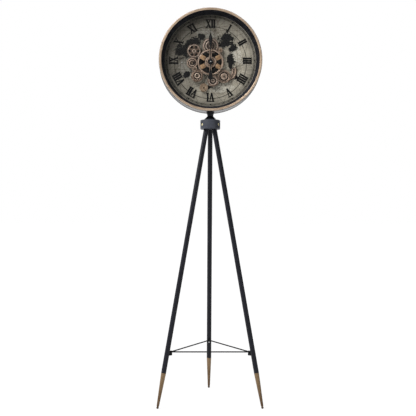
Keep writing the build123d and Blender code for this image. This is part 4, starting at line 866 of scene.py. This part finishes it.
softened("hub", "hub_block", 0.5 * mm, hub_black, "hub_metal")
softened("brace_brackets", "brace_blocks", 0.5 * mm, rod_black, "rod_metal")
softened("numerals", "raised_numerals", 0.14 * mm, numeral_black, "numeral_black", 1, spread=0.6 * mm)
softened("wheel_blocks", "gold_blocks", 0.6 * mm, block_gold, "block_gold")
softened("medallion", "medallion_disc", 0.25 * mm, medallion_tan, "medallion_tan", segments=1)
softened("post_caps", "post_heads", 0.3 * mm, post_brass, "post_brass")
softened("movement_case", "movement_shell", 0.5 * mm, case_black, "case_plastic")
softened("movement_cover", "movement_lid", 0.2 * mm, case_black, "case_plastic", segments=1)
softened("setting_knob", "fluted_knob", 0.12 * mm, case_black, "case_plastic", segments=1)
softened("drive_case", "drive_shell", 0.4 * mm, case_black, "case_plastic")
softened("drive_cover", "drive_lid", 0.2 * mm, case_black, "case_plastic", segments=1)
softened("battery_door", "ribbed_door", 0.2 * mm, case_black, "case_plastic", segments=1)


# The rim

def build_rim():
    """Turned band: a round outer roll, a cove, a bead and a lip that holds the glass."""
    outer = rim_radius
    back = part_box("rim")[1].y
    skirt = outer - 5 * mm
    glass_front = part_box("glass")[0].y
    sight = outer - 8.8 * mm

    def roll(middle, wide, high, angles):
        """Round part of the profile. Its highest point lies on the rim's front."""
        return [
            (middle + wide * cos(radians(a)), rim_front + high - high * sin(radians(a))) for a in angles
        ]

    cove = ((2.9, 0.1), (3.2, 0.6), (3.6, 0.6), (3.9, 0.15), (6.2, 0.45))
    profile = [(skirt, back), (outer, back)]
    profile += roll(outer - 2.2 * mm, 2.2 * mm, 2.2 * mm, range(0, 91, 15))
    profile += [(outer - inset * mm, rim_front + depth * mm) for inset, depth in cove]
    profile += roll(sight + 1.6 * mm, 0.8 * mm, 0.6 * mm, range(0, 181, 20))
    profile += [
        (sight + 0.4 * mm, rim_front + 0.9 * mm), (sight, rim_front + 1.3 * mm), (sight, glass_front),
        (skirt, glass_front),
    ]
    shell = lathe(head, profile, 288)
    mesh_piece("rim_band", [shell], rim_gold, "stand", "rim_gold", ("rim",), head)
    inner = outer - 11 * mm
    gasket = [
        (inner, glass_front), (inner, rim_front + 1.9 * mm), (inner + 0.3 * mm, rim_front + 1.5 * mm),
        (sight, rim_front + 1.4 * mm), (sight, glass_front),
    ]
    mesh_piece("rim_gasket", [lathe(head, gasket, 288)], liner_black, "stand", "ring_black")


build_rim()


# Wheels

def bearing(start, end):
    return atan2(end.z - start.z, end.x - start.x)


def mesh_turn(angle, driver_teeth, driven_teeth):
    """Angle of a driven tooth, where a gap of the driven wheel faces the driver, whose turn is 0."""
    return angle + pi + angle * (driver_teeth / driven_teeth) + pi / driven_teeth


main_place = wheel_place["main_wheel"]
train_turn = {
    name: mesh_turn(bearing(main_place, wheel_place[name]), main_teeth, teeth)
    for name, teeth in train_teeth.items()
}
main_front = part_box("main_wheel")[0].y
rear_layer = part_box("upper_left_wheel")[1].y
front_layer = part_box("left_wheel")[1].y
ring_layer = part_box("top_wheel")[1].y
step_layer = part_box("small_wheel")[1].y


def hub_profile(radius):
    """End of a front profile: a chamfered hub that stands up to the bore."""
    return [
        (radius, 0.0), (radius, boss_rise - 0.2 * mm), (radius - 0.25 * mm, boss_rise),
        (post_bore + 0.35 * mm, boss_rise), (post_bore + 0.1 * mm, boss_rise - 0.2 * mm),
    ]


def wheel_piece(name, title, shells, material, *flats):
    """A wheel in the place of its CAD node. flats are the depths of its flat faces."""
    return mesh_piece(title, shells, material, name, "wheel_copper", (name,), wheel_place[name], flats)


def train_shell(name, layer, front, profile):
    """The toothed shell of a wheel that meshes with the main wheel, with its back in a layer."""
    return toothed(
        wheel_place[name], train_teeth[name], train_turn[name], layer, front, profile, post_bore
    )


def train_wheel(name, title, material, layer, front, profile, *more_flats):
    """A wheel of one shell that meshes with the main wheel."""
    shell = train_shell(name, layer, front, profile)
    return wheel_piece(name, title, [shell], material, front, *more_flats)


def build_main_wheel():
    """Open wheel: toothed ring, six flared arms and a sunk hub with a boss."""
    root = root_of(main_teeth)
    ring_inner = root - 5.0 * mm
    profile = [(root - 0.6 * mm, 0.0)] + ridge(root - 2.3 * mm, 1.0 * mm, 0.55 * mm) + [
        (root - 4.0 * mm, 0.0), (root - 4.6 * mm, -0.3 * mm), (ring_inner, -0.8 * mm),
    ]
    shells = [toothed(main_place, main_teeth, 0.0, rear_layer, main_front, profile, ring_inner)]
    arm_back = main_front + 4.0 * mm
    flare = (
        (0.0, 6.0 * mm), (0.12, 5.2 * mm), (0.3, 4.9 * mm), (0.6, 4.7 * mm), (0.86, 4.9 * mm),
        (0.95, 5.4 * mm), (1.0, 6.2 * mm),
    )
    arm_front = main_front + 0.25 * mm
    shells += arms(main_place, 6, 30, 19 * mm, ring_inner + 1.6 * mm, flare, arm_front, arm_back)
    floor = main_front + 1.6 * mm
    hub = [
        (main_bore, main_front), (main_boss - 0.3 * mm, main_front), (main_boss, main_front + 0.3 * mm),
        (9.2 * mm, floor), (11.4 * mm, floor),
    ]
    hub += [(r, floor - rise) for r, rise in reversed(ridge(13.6 * mm, 2.1 * mm, 1.3 * mm))]
    hub += [
        (16.6 * mm, main_front + 2.0 * mm), (17.0 * mm, main_front + 0.3 * mm), (17.4 * mm, main_front),
    ]
    hub += [(r, main_front - rise) for r, rise in reversed(ridge(19.4 * mm, 1.1 * mm, 0.5 * mm))]
    hub += [
        (21.6 * mm, main_front), (main_hub, main_front + 0.4 * mm), (main_hub, arm_back),
        (main_boss, arm_back), (main_boss, plate_front - 3.2 * mm), (main_bore, plate_front - 3.2 * mm),
    ]
    shells.append(lathe(main_place, hub, 120))
    wheel_piece(
        "main_wheel", "main_wheel_open", shells, copper_pale, main_front, arm_front, floor
    )


def build_upper_left_wheel():
    """Rear wheel with a raised ring and six round holes, whose front edges are chamfered."""
    name = "upper_left_wheel"
    teeth, place = train_teeth[name], wheel_place[name]
    pitch = pitch_of(teeth)
    front = rear_layer - wheel_width
    profile = [(root_of(teeth) - 0.5 * mm, 0.0)] + ridge(pitch * 0.85, 1.1 * mm, 0.85 * mm)
    profile += dish(pitch * 0.80, pitch * 0.38, 0.7 * mm) + hub_profile(pitch * 0.26)
    piece = train_wheel(
        name, "upper_left_gear", shaded_copper, rear_layer, front, profile, front + 0.7 * mm
    )
    hole = (
        (6.1 * mm, front - 0.4 * mm), (5.3 * mm, front + 1.0 * mm), (5.3 * mm, rear_layer + 1 * mm),
    )
    middles = [Vector(round_at(place, pitch * 0.6, radians(60 * k), 0)) for k in range(6)]
    subtract(piece, [round_post(middle, hole, 28) for middle in middles])


def build_left_wheel():
    """Wheel with a bead at its edge and an open raised ring in its dish."""
    name = "left_wheel"
    place, root = wheel_place[name], root_of(train_teeth[name])
    front = front_layer - wheel_width
    profile = [(root - 0.6 * mm, 0.0)] + ridge(root - 2.0 * mm, 0.9 * mm, 0.6 * mm)
    profile += dish(root - 3.3 * mm, 4.2 * mm, 0.6 * mm) + hub_profile(3.6 * mm)
    shells = [train_shell(name, front_layer, front, profile)]
    steps = 40
    loops = []
    opening = radians(36)
    ring, half, rise = 10.6 * mm, 1.7 * mm, 1.2 * mm
    for k in range(steps + 1):
        angle = opening + (2 * pi - 2 * opening) * k / steps
        end = 0.55 if k in (0, steps) else 1.0
        section = [(half * end * cos(pi * n / 6), rise * end * sin(pi * n / 6)) for n in range(7)]
        loops.append([round_at(place, ring + r, angle, front + 0.6 * mm - h) for r, h in section])
    shells.append(capped(loops))
    wheel_piece(name, "left_gear", shells, copper, front)


def build_lower_left_wheel():
    """Wheel with a smaller toothed wheel on it, which drives the small wheel."""
    name = "lower_left_wheel"
    root = root_of(train_teeth[name])
    front = front_layer - wheel_width
    profile = [(root - 0.6 * mm, 0.0)] + ridge(root - 2.2 * mm, 0.8 * mm, 0.5 * mm)
    profile += [(9.8 * mm, 0.0), (9.75 * mm, 1.2 * mm)]
    large = train_shell(name, front_layer, front, profile)
    step_root = root_of(step_teeth)
    step_front = step_layer - small_width
    profile = [(step_root - 0.4 * mm, 0.0)] + ridge(step_root - 1.5 * mm, 0.7 * mm, 0.35 * mm)
    profile += dish(15.6 * mm, 10.4 * mm, 1.25 * mm, 0.9 * mm) + ridge(8.6 * mm, 1.3 * mm, 0.8 * mm)
    profile += dish(6.9 * mm, 2.9 * mm, 0.6 * mm)
    step = toothed(wheel_place[name], step_teeth, 0.0, step_layer, step_front, profile, post_bore)
    wheel_piece(name, "lower_left_gear", [large, step], copper, front, step_front)


def build_small_wheel():
    name = "small_wheel"
    place = wheel_place[name]
    turn = mesh_turn(bearing(wheel_place["lower_left_wheel"], place), step_teeth, small_teeth)
    root = root_of(small_teeth)
    front = step_layer - small_width
    profile = [(root - 0.4 * mm, 0.0)] + dish(root - 1.0 * mm, 3.8 * mm, 0.4 * mm)
    profile += [(3.2 * mm, 0.0), (post_bore + 0.3 * mm, 0.0)]
    shell = toothed(place, small_teeth, turn, step_layer, front, profile, post_bore)
    wheel_piece(name, "small_gear", [shell], copper_pale, front)


def build_bottom_wheel():
    name = "bottom_wheel"
    teeth = train_teeth[name]
    pitch = pitch_of(teeth)
    front = front_layer - wheel_width
    profile = [(root_of(teeth) - 0.6 * mm, 0.0)] + ridge(pitch * 0.675, 1.6 * mm, 0.9 * mm)
    profile += dish(pitch * 0.56, pitch * 0.36, 0.6 * mm) + hub_profile(pitch * 0.3)
    train_wheel(name, "bottom_gear", shaded_copper, front_layer, front, profile)


def build_lower_right_wheel():
    """Rear wheel with a broad bead, a dish and a stepped hub."""
    name = "lower_right_wheel"
    teeth = train_teeth[name]
    pitch = pitch_of(teeth)
    front = rear_layer - wheel_width
    top, step = 1.8 * mm, 1.1 * mm
    profile = [(root_of(teeth) - 0.5 * mm, 0.0)] + ridge(pitch * 0.785, 1.5 * mm, 0.85 * mm)
    profile += dish(pitch * 0.69, pitch * 0.5, 0.7 * mm)
    profile += [(pitch * 0.45, 0.0), (pitch * 0.45, 1.5 * mm), (pitch * 0.43, top)]
    profile += [(pitch * 0.33, top), (pitch * 0.31, step), (pitch * 0.24, step)]
    profile += [(pitch * 0.22, top), (post_bore + 0.4 * mm, top)]
    train_wheel(name, "lower_right_gear", copper_pale, rear_layer, front, profile, front - 1.3 * mm)


def build_pinion_wheel():
    name = "pinion_wheel"
    profile = [(root_of(train_teeth[name]) - 0.4 * mm, 0.0), (post_bore + 0.5 * mm, 0.0)]
    train_wheel(name, "right_pinion", copper_pale, rear_layer, main_front, profile)


def build_top_wheel():
    """Open ring with a collar on a four-armed spider, and the pinion that drives it."""
    name = "top_wheel"
    place, turn, root = wheel_place[name], train_turn[name], root_of(train_teeth[name])
    hole = 23.5 * mm
    ring_root = root_of(top_ring_teeth)
    ring_front = ring_layer - ring_width
    bead, rise = 1.7 * mm, 0.9 * mm
    profile = [(ring_root - 0.6 * mm, 0.0)] + ridge(ring_root - 3.1 * mm, bead, rise) + [(hole, 0.0)]
    shells = [toothed(place, top_ring_teeth, turn, ring_layer, ring_front, profile, hole)]
    arm = ((0.0, 3.0 * mm), (0.5, 2.8 * mm), (1.0, 4.2 * mm))
    shells += arms(
        place, 4, 45, 17 * mm, hole + 0.8 * mm, arm, ring_front + 0.3 * mm, ring_layer, 0.3 * mm
    )
    collar_outer, floor = 19.0 * mm, ring_front + 0.6 * mm
    collar = [(post_bore, ring_layer), (collar_outer, ring_layer), (collar_outer, ring_front)]
    collar += [(r, ring_front - up) for r, up in ridge(17.25 * mm, bead, rise)]
    collar += [(15.2 * mm, ring_front), (14.6 * mm, floor), (post_bore, floor)]
    shells.append(lathe(place, collar, 96))
    profile = [(root - 0.6 * mm, 0.0)] + ridge(10.2 * mm, 0.9 * mm, 0.4 * mm)
    profile += dish(8.6 * mm, 6.9 * mm, 0.5 * mm) + hub_profile(6.2 * mm)
    pinion_back = ring_front - 1.2 * mm
    shells.append(train_shell(name, pinion_back, main_front, profile))
    spacer = root - 1.0 * mm
    shells.append(lathe(place, [
        (post_bore, ring_front + 0.7 * mm), (spacer, ring_front + 0.7 * mm),
        (spacer, pinion_back - 0.2 * mm), (post_bore, pinion_back - 0.2 * mm),
    ], 64))
    wheel_piece(name, "top_gear", shells, shaded_copper, ring_front)


def build_bridge_ring():
    """Fixed arc with two raised ridges, on small feet."""
    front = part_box("bridge_ring")[0].y
    back = front + ring_width
    plate = front + 0.8 * mm
    section = [(bridge_inner, back), (bridge_outer, back), (bridge_outer, plate + 0.25 * mm)]
    section += [(bridge_outer - 0.25 * mm, plate)]
    for radius, half in ((32.5 * mm, 2.0 * mm), (20.75 * mm, 2.25 * mm)):
        section += [(r, plate - rise) for r, rise in ridge(radius, half, 0.8 * mm, 8)]
    section += [(bridge_inner + 0.25 * mm, plate), (bridge_inner, plate + 0.25 * mm)]
    steps = 72
    loops = []
    for k in range(steps + 1):
        angle = radians(bridge_start + bridge_sweep * k / steps)
        loops.append([round_at(bridge_place, r, angle, y) for r, y in section])
    shells = [capped(loops)]
    middle = (bridge_outer + bridge_inner) / 2
    foot = ((3.0 * mm, dial_front), (3.0 * mm, back - 0.2 * mm), (2.0 * mm, back - 0.6 * mm))
    pin = (
        (1.7 * mm, plate + 0.2 * mm), (1.7 * mm, plate - 0.3 * mm), (1.2 * mm, plate - 0.65 * mm),
        (0.5 * mm, plate - 0.78 * mm),
    )
    pin_angles = [bridge_start + bridge_sweep * (k + 0.5) / bridge_pins for k in range(bridge_pins)]
    for angles, profile, count in ((bridge_feet, foot, 24), (pin_angles, pin, 16)):
        for angle in angles:
            place = Vector(round_at(bridge_place, middle, radians(angle), 0))
            shells.append(round_post(place, profile, count))
    mesh_piece(
        "stepped_arc", shells, copper_pale, "stand", "wheel_copper", ("bridge_ring",), bridge_place,
        (plate - 0.3 * mm,),
    )


build_main_wheel()
build_upper_left_wheel()
build_left_wheel()
build_lower_left_wheel()
build_small_wheel()
build_bottom_wheel()
build_lower_right_wheel()
build_pinion_wheel()
build_top_wheel()
build_bridge_ring()


# Hands

def arc_through(first, middle, last):
    """Points on the circle through three points, first to last."""
    count = 14
    a, b, c = (Vector(p) for p in (first, middle, last))
    turn = 2 * (a.x * (b.y - c.y) + b.x * (c.y - a.y) + c.x * (a.y - b.y))
    centre = Vector((
        (a.dot(a) * (b.y - c.y) + b.dot(b) * (c.y - a.y) + c.dot(c) * (a.y - b.y)) / turn,
        (a.dot(a) * (c.x - b.x) + b.dot(b) * (a.x - c.x) + c.dot(c) * (b.x - a.x)) / turn,
    ))
    sweep = (a - centre).angle_signed(c - centre)
    start = a - centre
    return [centre + Matrix.Rotation(-sweep * k / count, 2) @ start for k in range(count + 1)]


def build_hand(node, name, length, width, stem, leaf_shares, point_share, boss, bore, side):
    """Spade hand with a crowned leaf. side is 1 if it points up at rest, -1 if down.

    leaf_shares are the leaf's start, widest place and end, as shares of the length.
    """
    low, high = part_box(node)
    front, back = low.y, high.y
    start, widest, end = (length * share for share in leaf_shares)
    shoulder = start + (widest - start) * 0.55
    point = widest + (end - widest) * 0.55
    outline = [Vector((stem / 2, start * k / 6)) for k in range(6)]
    outline += arc_through((stem / 2, start), (width * 0.34, shoulder), (width / 2, widest))
    outline += arc_through((width / 2, widest), (width * point_share, point), (stem / 4, end))[1:]
    outline.append(Vector((0.6 * mm, length)))
    loops = []
    for half, at in outline:
        edge = min(0.3 * mm, half * 0.4)
        section = (
            (-half, back), (-half, front + 0.5 * mm), (-half + edge, front + 0.25 * mm), (0.0, front),
            (half - edge, front + 0.25 * mm), (half, front + 0.5 * mm), (half, back),
        )
        loops.append([(works.x + aside, y, works.z + side * at) for aside, y in section])
    blade = capped(loops)
    eye = lathe(works, [
        (bore, back), (boss - 0.3 * mm, back), (boss, back - 0.3 * mm), (boss, front + 0.35 * mm),
        (boss - 0.4 * mm, front), (boss * 0.62, front), (boss * 0.58, front + 0.2 * mm),
        (boss * 0.5, front + 0.2 * mm), (boss * 0.46, front), (bore, front),
    ], 72)
    mesh_piece(name, [blade, eye], hand_black, node, "hand_black", (node,))


build_hand(
    "hour_hand", "hour_spade", length=73 * mm, width=16.5 * mm, stem=3 * mm,
    leaf_shares=(0.38, 0.82, 0.97), point_share=0.42, boss=10.5 * mm, bore=2.85 * mm, side=-1,
)
build_hand(
    "minute_hand", "minute_spade", length=128 * mm, width=15.5 * mm, stem=3 * mm,
    leaf_shares=(0.46, 0.69, 0.88), point_share=0.3, boss=7 * mm, bore=1.65 * mm, side=1,
)


# Studio. The world's strength for matt surfaces and for mirrors

ambient = 0.11
mirror_front = 0.25
mirror_rear = 0.6

# Lamps: name, place, aim, size and watts
lamps = (
    ("key_lamp", head + Vector((-2.2, -1.5, 2.4)), head, 2.3, 250),
    ("fill_lamp", Vector((2.4, -2.6, 1.2)), Vector((0, 0, 0.8)), 1.8, 14),
    ("rear_lamp", Vector((1.2, 2.4, 2.4)), Vector((0, 0, 0.9)), 1.6, 30),
)


def build_floor():
    """White floor that keeps a faint shadow near the object and glows evenly far from it."""
    bpy.ops.mesh.primitive_grid_add(x_subdivisions=4, y_subdivisions=4, size=60)
    floor = bpy.context.object
    floor.name = "studio_floor"
    graph = Graph("studio_white")
    x, y, z = graph.split(graph.place)
    seen = graph.most(graph.ray("Camera"), graph.ray("Glossy"))
    matt = graph.take("ShaderNodeBsdfDiffuse", 0, {"Color": (0.8, 0.8, 0.8)})
    glow = graph.take("ShaderNodeEmission", 0, {"Color": white, "Strength": 1.06})
    share = seen * graph.fade(graph.span(x, y), 0.5, 1.5, 0.86, 1.0)
    floor.data.materials.append(graph.close(graph.blend(share, matt, glow)))


def build_world():
    """White to the camera and through glass, a soft studio to mirrors, faint even grey to the rest."""
    world = bpy.data.worlds.new("studio")
    bpy.context.scene.world = world
    graph = Graph("studio", world)

    def background(strength):
        return graph.take("ShaderNodeBackground", 0, {"Color": white, "Strength": strength})

    x, y, z = graph.split(graph.take("ShaderNodeTexCoord", "Generated"))
    mirrored = graph.fade(y, -0.7, 0.6, mirror_front, mirror_rear) * graph.fade(x, -1.0, 1.0, 1.7, 0.5)
    shown = graph.most(graph.ray("Camera"), graph.ray("Transmission"))
    lit = graph.blend(graph.ray("Glossy"), background(ambient), background(mirrored))
    graph.close(graph.blend(shown, lit, background(1.0)), "ShaderNodeOutputWorld")


def build_lamp(name, place, aim, size, watts):
    lamp = bpy.data.lights.new(name, "AREA")
    lamp.shape = "DISK"
    lamp.size = size
    lamp.energy = watts
    holder = bpy.data.objects.new(name, lamp)
    holder.location = place
    holder.rotation_mode = "QUATERNION"
    holder.rotation_quaternion = (aim - place).to_track_quat("-Z", "Y")
    bpy.context.scene.collection.objects.link(holder)


def build_camera():
    camera = bpy.data.cameras.new("photo_camera")
    camera.lens = camera_lens
    camera.sensor_width = sensor_width
    holder = bpy.data.objects.new("photo_camera", camera)
    turn = Matrix.Rotation(radians(camera_turn), 4, "Z")
    dip = Matrix.Rotation(radians(90 - camera_dip), 4, "X")
    roll = Matrix.Rotation(radians(camera_roll), 4, "Z")
    holder.matrix_world = Matrix.Translation(camera_place) @ turn @ dip @ roll
    bpy.context.scene.collection.objects.link(holder)
    bpy.context.scene.camera = holder


build_floor()
build_world()
for lamp in lamps:
    build_lamp(*lamp)
build_camera()

bpy.context.scene.view_settings.view_transform = "Standard"
